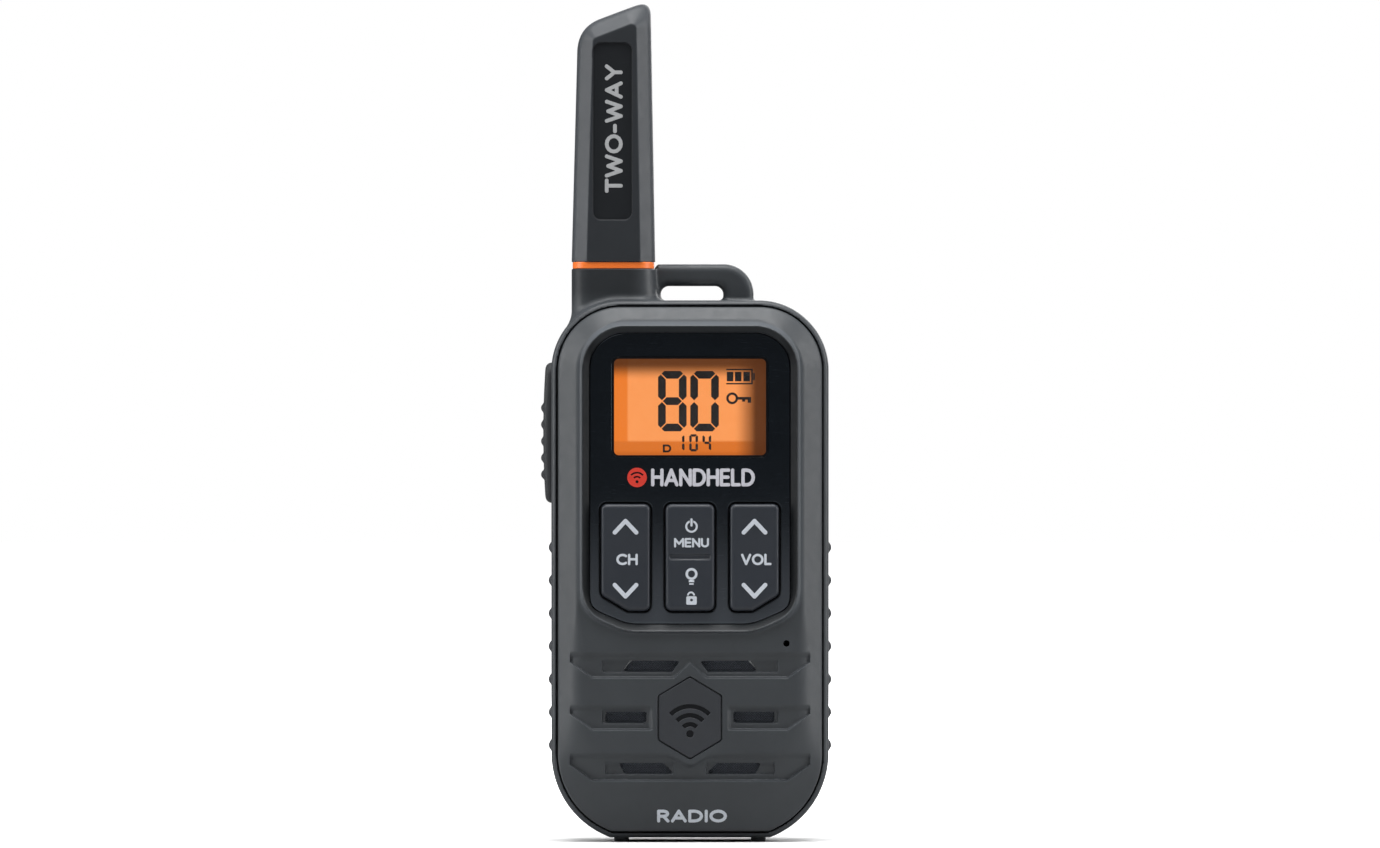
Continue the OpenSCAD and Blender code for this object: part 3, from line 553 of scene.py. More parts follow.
def moulded(name, colour, roughness, grain, depth, edge_highlight=0.35, zone=None, zone_tone=0.5, ridge=None):
    """Moulded plastic or rubber: fine spark grain, patchy sheen and edges painted a little paler in patches,
    a painted highlight.

    grain and depth are the width and height of the grain, and the value after depth says how much paler the
    edges are painted as a highlight.
    zone(p) may give a mask that is 1 where the surface is smoother and darker by zone_tone (painted shade on
    the bezel's inner slope, the collar and the antenna's flat faces), and ridge(p) one that is 1 where a
    painted highlight makes it paler and glossier.
    """
    p = Paint(name)
    patches = p.noise(0.09, 3.0)
    fine = p.noise(1 / grain, 2.0, 0.6)
    # Painted highlight: edges that would catch the light are painted paler in patches, and made a little
    # glossier.
    highlit_edges = p.times(p.edges(0.35), p.span(p.noise(0.35, 4.0, 0.65), 0.35, 0.7, 0.3, 1.0))
    tone = p.mix(p.span(patches, 0.3, 0.7), shade(colour, 0.93), shade(colour, 1.07))
    tone = p.mix(p.times(highlit_edges, edge_highlight), tone, shade(colour, 1.9))
    gloss = p.span(p.noise(0.6, 4.0, 0.6), 0.3, 0.75, roughness - 0.06, roughness + 0.06)
    gloss = p.minus(gloss, p.times(highlit_edges, 0.08))
    marks = p.noise(0.35, 5.0, at=p.stretched((0.9, 0.9, 5.0)))
    height = p.plus(fine, p.times(marks, 0.25))
    sheen = 0.5
    if ridge:
        # Painted highlight on the bezel's ridge: paler tone and a little glossier.
        ridge_highlight = ridge(p)
        tone = p.mix(ridge_highlight, tone, shade(colour, 2.1))
        gloss = p.minus(gloss, p.times(ridge_highlight, 0.08))
    if zone:
        # Darker and smoother where the mask is 1; for the bezel's inner slope, the collar and the antenna's
        # flat faces the darkening is painted shade.
        mask = zone(p)
        tone = p.mix(mask, tone, shade(colour, zone_tone))
        height = p.times(height, p.span(mask, 0.0, 1.0, 1.0, 0.3))
        sheen = p.span(mask, 0.0, 1.0, 0.5, 0.5 * zone_tone)
    return p.surface(
        Base_Color=tone, Roughness=gloss, Normal=p.bump(height, depth), Specular_IOR_Level=sheen
    )


def beyond_fascia(p):
    """Distance outside the fascia's outline."""
    centre = (0.0, FASCIA.mid[2])
    upper = p.outline(centre, FASCIA.hi[0], FASCIA.half[2], FASCIA_TOP_R)
    lower = p.outline(centre, FASCIA.hi[0], FASCIA.half[2], FASCIA_BOTTOM_R)
    length = math.hypot(FASCIA_RUN, FASCIA_RISE)
    beyond = p.minus(p.math("ABSOLUTE", p.axis("X")), FASCIA.hi[0])
    above = p.minus(p.axis("Z"), FASCIA.lo[2] + FASCIA_RISE)
    slant = p.minus(p.times(beyond, FASCIA_RISE / length), p.times(above, FASCIA_RUN / length))
    # Blender's smooth maximum needs 1.5 times the width that smax does for the same rounding
    corner = p.add("ShaderNodeMath", {0: beyond, 1: slant, 2: 1.5 * BEZEL_EASE}, operation="SMOOTH_MAX")
    lower = p.math("MAXIMUM", lower, corner)
    top_half = p.math("GREATER_THAN", p.axis("Z"), FASCIA.mid[2])
    return p.span(top_half, 0.0, 1.0, lower, upper)


def bezel_slope_shade(p):
    """The slope inside the bezel's ridge, smoother and painted darker as shade, darkest along its two sides.
    """
    side = p.span(p.math("ABSOLUTE", p.axis("X")), FASCIA.hi[0] - 3.0, FASCIA.hi[0], 0.67, 1.0, True)
    return p.times(p.span(beyond_fascia(p), 1.15, 1.4, 1.0, 0.0), side)


def bezel_ridge_highlight(p):
    """The ridge round the fascia, painted paler as a highlight: strongest along its top, which faces the
    light above, and weakest along its bottom edge.
    """
    away, up = beyond_fascia(p), p.axis("Z")
    band = p.times(p.span(away, 1.35, 1.5), p.span(away, 2.1, 2.5, 1.0, 0.0))
    low = p.span(up, FASCIA.lo[2] - 1.0, FASCIA.lo[2] + 3.0, 0.1, 0.45)
    top = p.span(up, FASCIA.hi[2] - 3.0, FASCIA.hi[2] + 1.0, 0.0, 0.5, True)
    return p.times(band, p.plus(low, top))


def collar_shade(p):
    """The antenna's collar, smoother and painted darker as shade, fading out towards its right side, where
    more light falls.
    """
    along = p.span(p.axis("X"), ANTENNA_X + 3.0, ANTENNA_X + 7.0, 1.0, 0.0, True)
    return p.times(along, p.span(p.axis("Z"), BODY_TOP - 2, BODY_TOP + 2.5, 0.0, 1.0, True))


def sleeve_recess_and_face_shade(p):
    """The smooth, darker recess for the word on the antenna, and at a little over half strength the flat
    faces that look straight forward or back, painted darker as shade so the bevels stay paler.
    """
    away = p.outline((LABEL_X, LABEL_Z), LABEL_HALF_W + 0.05, LABEL_HALF_H + 0.05, LABEL_R)
    front = p.span(p.axis("Y"), SLEEVE.lo[1] + 1.0, SLEEVE.lo[1] + 1.2, 1.0, 0.0)
    recess = p.times(p.span(away, 0.0, 0.1, 1.0, 0.0), front)
    # Painted shade on the flat faces, found by the way they face.
    normal = p.add("ShaderNodeNewGeometry", {}, "Normal")
    facing = p.math("ABSOLUTE", p.add("ShaderNodeSeparateXYZ", {"Vector": normal}, "Y"))
    return p.math("MAXIMUM", recess, p.span(facing, 0.86, 0.97, 0.0, 0.6))


def engraved(p):
    """The sunken mark on the badge."""
    return p.span(p.axis("Y"), BADGE.lo[1] + 0.22, BADGE.lo[1] + 0.32)


def polished(name, colour, reflection_colour, roughness):
    """Polished dark plastic with faint ripple and hairline scuffs. It is painted paler towards the bottom in
    the second colour, a painted reflection of the lit surroundings.
    """
    p = Paint(name)
    # Painted reflection: the panel turns paler towards its bottom.
    reflection_fade = p.span(p.axis("Z"), FASCIA.hi[2] - 30, FASCIA.lo[2], 0.0, 1.0, smooth=True)
    tone = p.mix(reflection_fade, colour, reflection_colour)
    hair = p.noise(1.2, 4.0, at=p.stretched((0.4, 1.0, 9.0)))
    scuffs = p.span(hair, 0.6, 0.72, 0.0, 0.1)
    gloss = p.plus(p.uneven(0.12, roughness, roughness + 0.05, 2.0), scuffs)
    return p.surface(
        Base_Color=tone, Roughness=gloss, Normal=p.bump(p.noise(0.25, 1.0), 0.006), Coat_Weight=0.2,
        Coat_Roughness=0.03, Specular_Tint=(0.7, 0.85, 1.0, 1.0),
    )


def metal(name, colour, roughness):
    """Plated or drawn metal with fine lines and small stains."""
    p = Paint(name)
    drawn = p.noise(2.0, 3.0, at=p.stretched((1.0, 1.0, 12.0)))
    stain = p.span(p.noise(0.5, 4.0), 0.4, 0.7)
    tone = p.mix(stain, colour, shade(colour, 0.8))
    gloss = p.span(drawn, 0.3, 0.7, roughness - 0.08, roughness + 0.1)
    return p.surface(Base_Color=tone, Metallic=1.0, Roughness=gloss, Normal=p.bump(drawn, 0.006))


def clear(name, colour, roughness=0.04, border=None):
    """Clear moulded plastic with a thin sheen. border(p) may give a mask for a black printed border."""
    p = Paint(name)
    wave = p.bump(p.noise(0.2, 2.0), 0.005)
    smear = p.span(p.noise(0.4, 4.0), 0.4, 0.7, roughness, roughness + 0.06)
    through = p.add("ShaderNodeBsdfTransparent", {"Color": colour})
    sheen = p.add("ShaderNodeBsdfGlossy", {"Roughness": smear, "Normal": wave})
    facing = p.math("MINIMUM", p.add("ShaderNodeFresnel", {"IOR": 1.4, "Normal": wave}), 0.08)
    shader = p.add("ShaderNodeMixShader", {0: facing, 1: through, 2: sheen})
    if border:
        ink = p.add("ShaderNodeBsdfPrincipled", {"Base Color": rgb(12, 13, 16), "Roughness": smear})
        shader = p.add("ShaderNodeMixShader", {0: border(p), 1: shader, 2: ink})
    p.tree.links.new(shader, p.output.inputs["Surface"])
    return p.material


def lens_rings(name):
    """Clear lens over a bright reflector: fine moulded rings that catch the light."""
    p = Paint(name)
    squares = [p.math("POWER", p.minus(p.axis(axis), at), 2.0) for axis, at in zip("XY", LENS.mid)]
    from_axis = p.math("SQRT", p.plus(*squares))
    wave = p.math("SINE", p.times(from_axis, 9.0))
    tone = p.mix(p.span(wave, -1.0, 1.0), rgb(132, 138, 144), rgb(206, 210, 213))
    tone = p.mix(p.span(from_axis, 0.6, 1.1, 0.75, 0.0, True), tone, rgb(246, 232, 178))
    return p.surface(
        Base_Color=tone, Roughness=p.uneven(0.5, 0.1, 0.2, 3.0), Normal=p.bump(wave, 0.02),
        Coat_Weight=0.8, Coat_Roughness=0.05,
    )


def window_border(p):
    """The black border printed on the back of the window."""
    away = p.outline((0.0, DISPLAY.mid[2]), DISPLAY_HALF_W, DISPLAY_HALF_H, 1.0)
    return p.span(away, 0.0, 0.05)


def display_face(name):
    """Lit amber display: a bright panel, deeper orange at its left and bottom, in shadow at top and right."""
    p = Paint(name)
    across, up = p.axis("X"), p.axis("Z")
    left, right = -DISPLAY_HALF_W, DISPLAY_HALF_W
    top, bottom = DISPLAY.mid[2] + DISPLAY_HALF_H, DISPLAY.mid[2] - DISPLAY_HALF_H
    mottle = p.noise(0.5, 3.0)
    centre = p.mix(mottle, rgb(246, 150, 82), rgb(250, 158, 92))
    tone = p.mix(p.span(across, left + 2.4, left + 3.0, 1.0, 0.0, True), centre, rgb(234, 124, 44))
    tone = p.mix(p.span(up, bottom + 2.5, bottom + 3.1, 1.0, 0.0, True), tone, rgb(216, 114, 40))
    tone = p.mix(p.span(up, bottom, bottom + 1.2, 0.45, 0.0, True), tone, rgb(170, 80, 26))
    tone = p.mix(p.span(across, right - 6.5, right - 2.6, 0.0, 0.75, True), tone, rgb(108, 58, 24))
    tone = p.mix(p.span(across, right - 3.4, right - 1.8, 0.0, 0.9, True), tone, rgb(80, 40, 12))
    tone = p.mix(p.span(up, top - 4.4, top - 0.9, 0.0, 0.96, True), tone, rgb(84, 44, 15))
    pixels = p.times(p.noise(9.0, 1.0), 0.04)
    strength = p.plus(pixels, 1.04)
    return p.surface(
        Base_Color=rgb(40, 20, 8), Roughness=0.35, Emission_Color=tone, Emission_Strength=strength,
        Specular_IOR_Level=0.2,
    )


def printed(name, colour, glow=0.0):
    """Printed legend ink, slightly uneven, made to glow faintly: painted light on the ink, which is no lamp.
    """
    p = Paint(name)
    thin = p.span(p.noise(3.0, 3.0), 0.3, 0.75, 0.86, 1.0)
    tone = p.mix(1.0, colour, p.add("ShaderNodeCombineColor", {0: thin, 1: thin, 2: thin}), "MULTIPLY")
    return p.surface(
        Base_Color=tone, Roughness=p.uneven(1.5, 0.45, 0.6), Emission_Color=tone,
        Emission_Strength=glow, Normal=p.bump(p.noise(6.0), 0.004),
    )


def woven(name, colour):
    """Open speaker cloth: two crossed sets of threads."""
    p = Paint(name)
    pitch = 0.5
    across = p.math("SINE", p.times(p.axis("X"), 2 * math.pi / pitch))
    up = p.math("SINE", p.times(p.axis("Z"), 2 * math.pi / pitch))
    weave = p.times(across, up)
    tone = p.mix(p.span(weave, -1.0, 1.0), shade(colour, 0.5), shade(colour, 1.5))
    fuzz = p.plus(weave, p.noise(8.0))
    return p.surface(Base_Color=tone, Roughness=0.9, Sheen_Weight=0.3, Normal=p.bump(fuzz, 0.05))


def circuit(name):
    """Solder mask over routed tracks, with tinned vias."""
    p = Paint(name)
    cells = p.add(
        "ShaderNodeTexVoronoi", {"Vector": p.mm, "Scale": 0.45}, "Distance", feature="DISTANCE_TO_EDGE"
    )
    track = p.span(cells, 0.06, 0.1, 1.0, 0.0)
    dots = p.add("ShaderNodeTexVoronoi", {"Vector": p.mm, "Scale": 0.32}, "Distance")
    via = p.span(dots, 0.1, 0.14, 1.0, 0.0)
    tone = p.mix(track, rgb(18, 92, 48), rgb(34, 122, 66))
    tone = p.mix(via, tone, rgb(198, 190, 160))
    height = p.plus(track, via)
    gloss = p.uneven(0.8, 0.28, 0.4)
    tinned = p.times(via, 0.9)
    return p.surface(Base_Color=tone, Roughness=gloss, Metallic=tinned, Normal=p.bump(height, 0.03))


def cell_sleeve(name):
    """Printed battery sleeve: a coloured body with a pale band and bare steel at both ends."""
    p = Paint(name)
    up = p.axis("Z")
    mid, half = CELLS.mid[2], CELLS.half[2]
    band = p.span(p.math("ABSOLUTE", p.minus(up, mid + 8.0)), 3.0, 3.1, 1.0, 0.0)
    steel = p.span(p.math("ABSOLUTE", p.minus(up, mid)), half - 1.7, half - 1.6)
    tone = p.mix(band, rgb(34, 98, 56), rgb(210, 208, 198))
    tone = p.mix(p.span(p.noise(0.4, 3.0), 0.35, 0.7, 0.0, 0.15), tone, rgb(20, 24, 22))
    tone = p.mix(steel, tone, rgb(188, 190, 192))
    return p.surface(
        Base_Color=tone, Metallic=steel, Roughness=p.uneven(1.2, 0.22, 0.34),
        Normal=p.bump(p.noise(2.5), 0.008),
    )


CASE = rgb(54, 58, 62)
# One row for each material of the record: its name, the function that makes it and that function's values
FINISHES = {name: make(name, *values) for name, make, *values in (
    ("case_plastic", moulded, CASE, 0.47, 0.2, 0.012),
    # fascia_black's second colour is the painted reflection at the panel's bottom.
    ("fascia_black", polished, rgb(6, 9, 14), rgb(64, 67, 72), 0.16),
    ("window_clear", clear, (1.0, 1.0, 1.0, 1.0), 0.04, window_border),
    ("badge_dark", moulded, rgb(47, 50, 55), 0.44, 0.18, 0.008, 0.35, engraved, 0.4),
    ("key_plastic", moulded, rgb(37, 42, 50), 0.42, 0.16, 0.006, 0.3),
    ("rubber_black", moulded, rgb(47, 49, 54), 0.62, 0.3, 0.02, 0.25),
    ("orange_ring", moulded, rgb(250, 122, 42), 0.38, 0.25, 0.005, 0.1),
    # antenna_plastic gets painted shade on the antenna's flat faces.
    ("antenna_plastic", moulded, rgb(53, 57, 62), 0.48, 0.22, 0.014, 0.35, sleeve_recess_and_face_shade, 0.35),
    ("steel", metal, rgb(186, 188, 190), 0.32),
    ("spring_steel", metal, rgb(200, 202, 205), 0.22),
    ("brass_contact", metal, rgb(208, 172, 96), 0.3),
    ("copper_wire", metal, rgb(204, 124, 74), 0.25),
    ("former_white", moulded, rgb(222, 219, 208), 0.45, 0.3, 0.006, 0.0),
    ("wire_red", moulded, rgb(170, 28, 22), 0.4, 0.4, 0.004, 0.0),
    ("wire_blue", moulded, rgb(30, 86, 160), 0.4, 0.4, 0.004, 0.0),
    ("board_green", circuit),
    ("chip_black", moulded, rgb(26, 27, 29), 0.55, 0.15, 0.01, 0.1),
    ("display_orange", display_face),
    ("diffuser_white", moulded, rgb(240, 236, 224), 0.6, 0.3, 0.004, 0.0),
    ("silicone_grey", moulded, rgb(92, 96, 104), 0.6, 0.3, 0.01, 0.1),
    ("connector_pink", moulded, rgb(206, 160, 168), 0.55, 0.2, 0.02, 0.0),
    ("cloth_black", woven, rgb(66, 71, 79)),
    ("cone_paper", moulded, rgb(46, 46, 48), 0.85, 0.5, 0.05, 0.1),
    ("cell_jacket", cell_sleeve),
    ("led_yellow", clear, (1.0, 0.93, 0.6, 1.0), 0.1),
    ("port_black", moulded, rgb(24, 25, 27), 0.5, 0.2, 0.01, 0.15),
    ("clip_plastic", moulded, rgb(42, 44, 48), 0.46, 0.2, 0.014),
)}
# The front shell: its edges get a stronger painted highlight, its bezel's inner slope painted shade and its
# ridge a painted highlight.
FRONT_PLASTIC = moulded(
    "front_plastic", CASE, 0.47, 0.2, 0.012, edge_highlight=0.6, zone=bezel_slope_shade, zone_tone=0.25, ridge=bezel_ridge_highlight
)
# The rear shell, with painted shade on the antenna's collar.
REAR_PLASTIC = moulded("rear_plastic", CASE, 0.47, 0.2, 0.012, zone=collar_shade, zone_tone=0.55)
LENS_RINGS = lens_rings("torch_lens_clear")
# Near-black woven finish on the microphone: painted shade, so the small hole in front of it reads dark.
MIC_HOLE_SHADE = woven("microphone_hole_shade", rgb(14, 14, 15))
TALK_RUBBER = moulded("talk_rubber", rgb(30, 33, 37), 0.6, 0.3, 0.02, edge_highlight=0.2)
# Each ink's last value is a faint glow: painted light that brightens the print.
INK = {
    "legend": printed("legend_white", rgb(196, 202, 210), 0.12),
    "panel": printed("panel_white", rgb(196, 196, 204), 0.12),
    "red": printed("panel_red", rgb(206, 50, 34), 0.15),
    "grey": printed("antenna_grey", rgb(168, 170, 172), 0.1),
    "segment": printed("display_segment", rgb(30, 26, 26), 0.0),
}


# ---- Outlines seen from the front ----


def silhouette(x, z):
    """The body's outline before its base is cut flat."""
    middle, half = (BODY_TOP + BODY_BOTTOM) / 2, (BODY_TOP - BODY_BOTTOM) / 2
    return rect(x, z - middle, HALF_W, half, np.where(z > middle, TOP_R, BOTTOM_R))


def body(x, z):
    """The body's outline with its flat base."""
    return np.maximum(silhouette(x, z), BASE_Z - z)


def fascia(x, z, ease=2.4):
    """The fascia's outline: round top corners, and sloped bottom corners that ease into the sides."""
    corner_r = np.where(z > FASCIA.mid[2], FASCIA_TOP_R, FASCIA_BOTTOM_R)
    box = rect(x, z - FASCIA.mid[2], FASCIA.hi[0], FASCIA.half[2], corner_r)
    length = math.hypot(FASCIA_RUN, FASCIA_RISE)
    side = np.abs(x) - FASCIA.hi[0]
    slope = (side * FASCIA_RISE - (z - FASCIA.lo[2] - FASCIA_RISE) * FASCIA_RUN) / length
    return smax(box, smax(side, slope, ease), 0.8)


def key_outline(x, z, side):
    """One key about its own centre; side is -1 or 1 for a sloped outer bottom corner, 0 for none."""
    w, h = KEY_HALF_W, KEY_HALF_H
    if side == 0:
        return rect(x, z, w, h, 1.3)
    run, rise = 5.3, 3.2
    points = [(w - run, -h), (w, -h + rise), (w, h), (-w, h), (-w, -h)]
    return polygon(side * x, z, points, 1.2)


def key_openings(x, z):
    """The openings that the three keys move in."""
    return join(*(key_outline(x - side * KEY_PITCH, z - KEY_Z, side) for side in (-1, 0, 1))) - KEY_GAP


def badge(x, z):
    """Upright hexagon with a point at the top and the bottom."""
    w, h = BADGE.hi[0], BADGE.half[2]
    shoulder = h - 0.6 * w
    points = [(0, h), (-w, shoulder), (-w, -shoulder), (0, -h), (w, -shoulder), (w, shoulder)]
    return polygon(x, z - BADGE.mid[2], points, 0.6)


# Scoops in the grille: top, bottom, and half width of the notch over the badge
SCOOPS = ((38.0, 32.85, 3.1), (27.4, 22.5, 0.0), (17.8, 12.3, 0.0))
# Shallow pockets round the slots: inner and outer ends, bottom, top
POCKETS = ((3.3, 17.7, 34.0, 37.0), (9.0, 17.7, 23.8, 26.9), (3.2, 17.0, 13.6, 16.6))
# Slots: corners of the one on the right
GRILLE_SLOTS = (
    [(2.0, 36.4), (12.1, 36.4), (13.5, 34.35), (3.4, 34.35)],
    [(8.7, 26.2), (16.9, 26.2), (16.9, 24.15), (8.7, 24.15)],
    [(5.4, 15.95), (14.2, 15.95), (13.2, 13.85), (3.3, 13.85)],
)


def scoop_outline(x, z, top, bottom, notch):
    """One scoop in the grille. notch is the half width of its peak over the badge."""
    outer, inner = 24.1, 19.6
    side_z = bottom + 3.2
    peak = [(-notch, bottom), (0.0, bottom + notch * 0.97), (notch, bottom)] if notch else []
    points = [(-outer, top + 1), (-outer, side_z), (-inner, bottom)] + peak
    points += [(inner, bottom), (outer, side_z), (outer, top + 1)]
    return polygon(x, z, points)


def relief(x, z):
    """How far the front shell's surface lies behind the bezel's crest."""
    edge = -(silhouette(x, z) + SEAM)
    low = soft(-z, -26, -8)
    bevel = (3.6 - 0.6 * low) * (1 - edge / (3.88 + 3.9 * low))
    surface = 0.8 + smax(bevel, 0 * bevel, 0.5 + 1.1 * soft(-z, -47, -38) + 2.8 * low)
    lip = fascia(x, z, BEZEL_EASE)
    surface = smin(surface, np.maximum(1.6 * (lip - 1.45), 0), 0.2)
    surface = smax(surface, 1.5 - lip, 0.16)
    pad = soft(badge(x, z), 1.1, 2.1)
    for top, bottom, notch in SCOOPS:
        wall = soft(-scoop_outline(x, z, top, bottom, notch), 0.0, 0.38)
        depth = 0.55 + 0.4 * np.clip((top - z) / (top - bottom), 0, 1)
        surface = surface + depth * wall * pad * soft(top - z, -0.3, 1.1)
    for inner, outer_x, bottom, top in POCKETS:
        middle, half = (inner + outer_x) / 2, (outer_x - inner) / 2
        outline = rect(np.abs(x) - middle, z - (top + bottom) / 2, half, (top - bottom) / 2, 0.3)
        surface = surface + 0.6 * soft(-outline, 0.0, 0.25) * soft(top - z, 0.0, 1.6)
    return surface


def through_holes(x, z):
    """Everything that goes right through the front shell."""
    slots = join(*(polygon(np.abs(x), z, points, 0.3) for points in GRILLE_SLOTS))
    window = rect(x, z - DISPLAY.mid[2], DISPLAY_HALF_W, DISPLAY_HALF_H, 0.9)
    hole = disc(x - MIC.mid[0], z - MIC.mid[2], 0.65)
    return join(slots, window, hole, key_openings(x, z))


def rods(x, y, z, places, r, y0, y1):
    """Round rods along y, mirrored about the middle."""
    return join(*(np.maximum(disc(np.abs(x) - px, z - pz, r), slab(y, y0, y1)) for px, pz in places))


def front_shell_field():
    """The front shell: its modelled face, rim, hollow, bosses, and the fascia's and the badge's pockets."""
    surface, holes = sheet_over(FRONT, relief), sheet_over(FRONT, through_holes)
    rim, pocket, plate = (sheet_over(FRONT, outline) for outline in (body, fascia, badge))

    def field(x, y, z):
        outline = rim(x, z)
        skin = CREST + np.where(pocket(x, z) < -0.5, 0.0, surface(x, z)) - y
        shell = common(smax(skin, outline + SEAM, 0.35), y - FLANGE)
        tongue = common(outline + 2.25, y - LEDGE - 1.4, skin)
        solid = join(shell, tongue)
        wall = skin + 1.3
        hollow = common(outline + 3.45, SEAT_BACK - y, wall)
        deep = common(outline + 3.45, z - FASCIA.lo[2] + 0.9, SEAT_BACK - 0.9 - y, wall)
        solid = cut(solid, hollow, deep)
        bosses = rods(x, y, z, SHELL_SCREWS, 2.6, SEAT_BACK - 1, LEDGE + 2.8)
        bosses = common(bosses, skin + 0.6)
        posts = rods(x, y, z, BOARD_POSTS, 1.8, SEAT_BACK - 0.4, FLANGE + 0.75)
        solid = join(solid, bosses, posts)
        return cut(
            solid,
            common(pocket(x, z) - 0.1, y - SEAT),
            common(plate(x, z) - 0.22, y - FACE - 0.8),
            np.maximum(holes(x, z), y - FLANGE),
            rods(x, y, z, SHELL_SCREWS, 1.22, SEAT_BACK + 0.3, 0),
            rods(x, y, z, BOARD_POSTS, 0.82, SEAT_BACK + 0.3, 0),
        )

    return field


def grip_strip(y, z, grow=0.0):
    """A grip's outline seen from the side."""
    return rect(y - GRIP.mid[1], z - GRIP.mid[2], GRIP.half[1] + grow, GRIP.half[2] + grow, 2.0)


def rear_outside(x, y, z):
    """The outside of the rear shell: body, antenna collar and carry loop, blended together."""
    outline = body(x, z)
    fall, run = 4.5, BACK - BACK_EDGE
    length = math.hypot(fall, run)

    def sloped(distance):
        return (distance * run + (y - BACK_EDGE) * fall) / length

    solid = smax(outline, RIM - y, 1.5)
    solid = smax(solid, y - BACK, 0.8)
    for distance in (np.abs(x) - HALF_W, z - BODY_TOP, BASE_Z - z):
        solid = smax(solid, sloped(distance), 1.6)
    low = COLLAR_TOP - z
    flare = 0.012 * np.clip(low, 0, 9) ** 2
    half_w = ANTENNA_HALF_W + flare / 2
    section = rect(x - ANTENNA_X - flare / 2, y - ANTENNA_Y, half_w, ANTENNA_HALF_D, 4.0)
    collar = smax(section, slab(z, BODY_TOP - 12, COLLAR_TOP), 0.25)
    solid = smin(solid, collar, 1.6)
    loop_y = RIM + 13.8
    bar = rect(x + 0.6, z - 105.0, 13.4, REAR.hi[2] - 105.0, 6.0)
    slot = rect(x - 0.4, z - 109.8, 6.3, 1.8, 1.7)
    loop = smax(smax(bar, -slot, 0.8), np.abs(y - loop_y) - 3.0, 1.7)
    return smin(solid, common(loop, 100.0 - z), 0.9)


def rear_shell(x, y, z):
    """The rear shell: its outside, the hollow, the battery bay, bosses and feet, and every opening in it."""
    outline = body(x, z)
    solid = rear_outside(x, y, z)
    cavity = join(
        common(outline + 1.0, y - LEDGE),
        common(outline + WALL, y - BACK + 4.8),
        common(outline + 6.0, y - BACK + 2.1),
    )
    over_collar = rect(x - ANTENNA_X, y - ANTENNA_Y, 9, 7, 2)
    above_collar = common(z - COLLAR_TOP - 20, COLLAR_TOP - z, over_collar)
    solid = cut(solid, cavity, above_collar)
    bay = common(
        rect(x, z - 31.1, 19.8, 28.3), slab(y, BACK - 13.8, BACK), outline + 1.0,
        ((BASE_Z - z) * 5 + (y - BACK_EDGE) * 4.5) / 6.73,
    )
    bosses = rods(x, y, z, SHELL_SCREWS, 2.9, RIM + 5.8, BACK - 2)
    clip_bosses = rods(x, y, z, CLIP_SCREWS, 2.0, BACK - 6, BACK - 2)
    foot = smax(
        rect(np.abs(x) - 13.75, y + 2.2, 1.45, 7.5, 0.4), slab(z, 0.0, BASE_Z + 1.0), 0.3
    )
    solid = join(solid, bay, bosses, clip_bosses, foot)
    door_z = DOOR.mid[2]
    _, jack_y, jack_z = JACK.mid
    _, usb_y, usb_z = USB.mid
    _, talk_y, talk_z = TALK.mid
    _, talk_half_d, talk_half_h = TALK.half
    lens_x, lens_y, _ = LENS.mid
    return cut(
        solid,
        common(disc(x - ANTENNA_X, y - ANTENNA_Y, ANTENNA_BORE), 100.0 - z),
        common(rect(x, z - 31.2, 16.6, 24.0, 1.0), BACK - 12.6 - y),
        common(rect(x, z - door_z, DOOR.hi[0] + 0.1, DOOR.half[2] + 0.1, 0.4), DOOR.lo[1] - 0.05 - y),
        common(rect(x, z - 5.4, 3.1, 1.0, 0.2), BACK - 1.2 - y),
        rods(x, y, z, SHELL_SCREWS, 1.35, RIM, BACK + 1),
        rods(x, y, z, SHELL_SCREWS, 2.4, BACK - 7, BACK + 1),
        rods(x, y, z, CLIP_SCREWS, 1.02, BACK - 7, BACK + 1),
        rods(x, y, z, ((CELL_PITCH, 54.55),), 0.8, BACK - 15, BACK - 12),
        common(rect(y - talk_y, z - talk_z, talk_half_d - 0.5, talk_half_h - 0.2, 2.6), x + HALF_W - 3),
        common(rect(y - COVER.lo[1] - 2.8, z - COVER.mid[2], 3.05, 11.2, 0.3), HALF_W - 1 - x),
        common(rect(y - usb_y, z - usb_z, 1.8, 4.8, 1.6), HALF_W - 4 - x),
        common(disc(y - jack_y + 0.3, z - jack_z, 2.0), HALF_W - 4 - x),
        common(disc(x - lens_x, y - lens_y, LENS.hi[0] - lens_x - 0.55), BODY_TOP - 5 - z),
        common(grip_strip(y, z, 0.05), HALF_W - 0.5 - np.abs(x)),
    )


def fascia_field():
    """Flat panel with openings for the window and the keys."""
    outline, keys = sheet_over(FASCIA, fascia), sheet_over(FASCIA, key_openings)

    def field(x, y, z):
        window = rect(x, z - DISPLAY.mid[2], DISPLAY_HALF_W + 0.5, DISPLAY_HALF_H + 0.5, 1.4)
        flat = smax(outline(x, z), FASCIA.lo[1] - y, 0.25)
        flat = smax(flat, -keys(x, z), 0.25)
        return common(flat, y - FASCIA.hi[1], -window)

    return field


def window_field(x, y, z):
    """Flat window that fills the opening in the fascia from behind."""
    flat = rect(x, z - DISPLAY.mid[2], DISPLAY.half[0], DISPLAY.half[2], 1.35)
    return common(flat, slab(y, DISPLAY.lo[1], DISPLAY.hi[1]))


def glass_field(x, y, z):
    """The display glass."""
    flat = rect(x, z - DISPLAY.mid[2], GLASS.hi[0], GLASS.half[2], 0.3)
    return smax(flat, slab(y, GLASS.lo[1], GLASS.hi[1]), 0.15)


def key_dish(x, z):
    """How far a key's face is hollowed, about the key's centre."""
    return 0.22 * np.exp(-((z / 5.5) ** 2)) * np.exp(-((x / 4.5) ** 2))


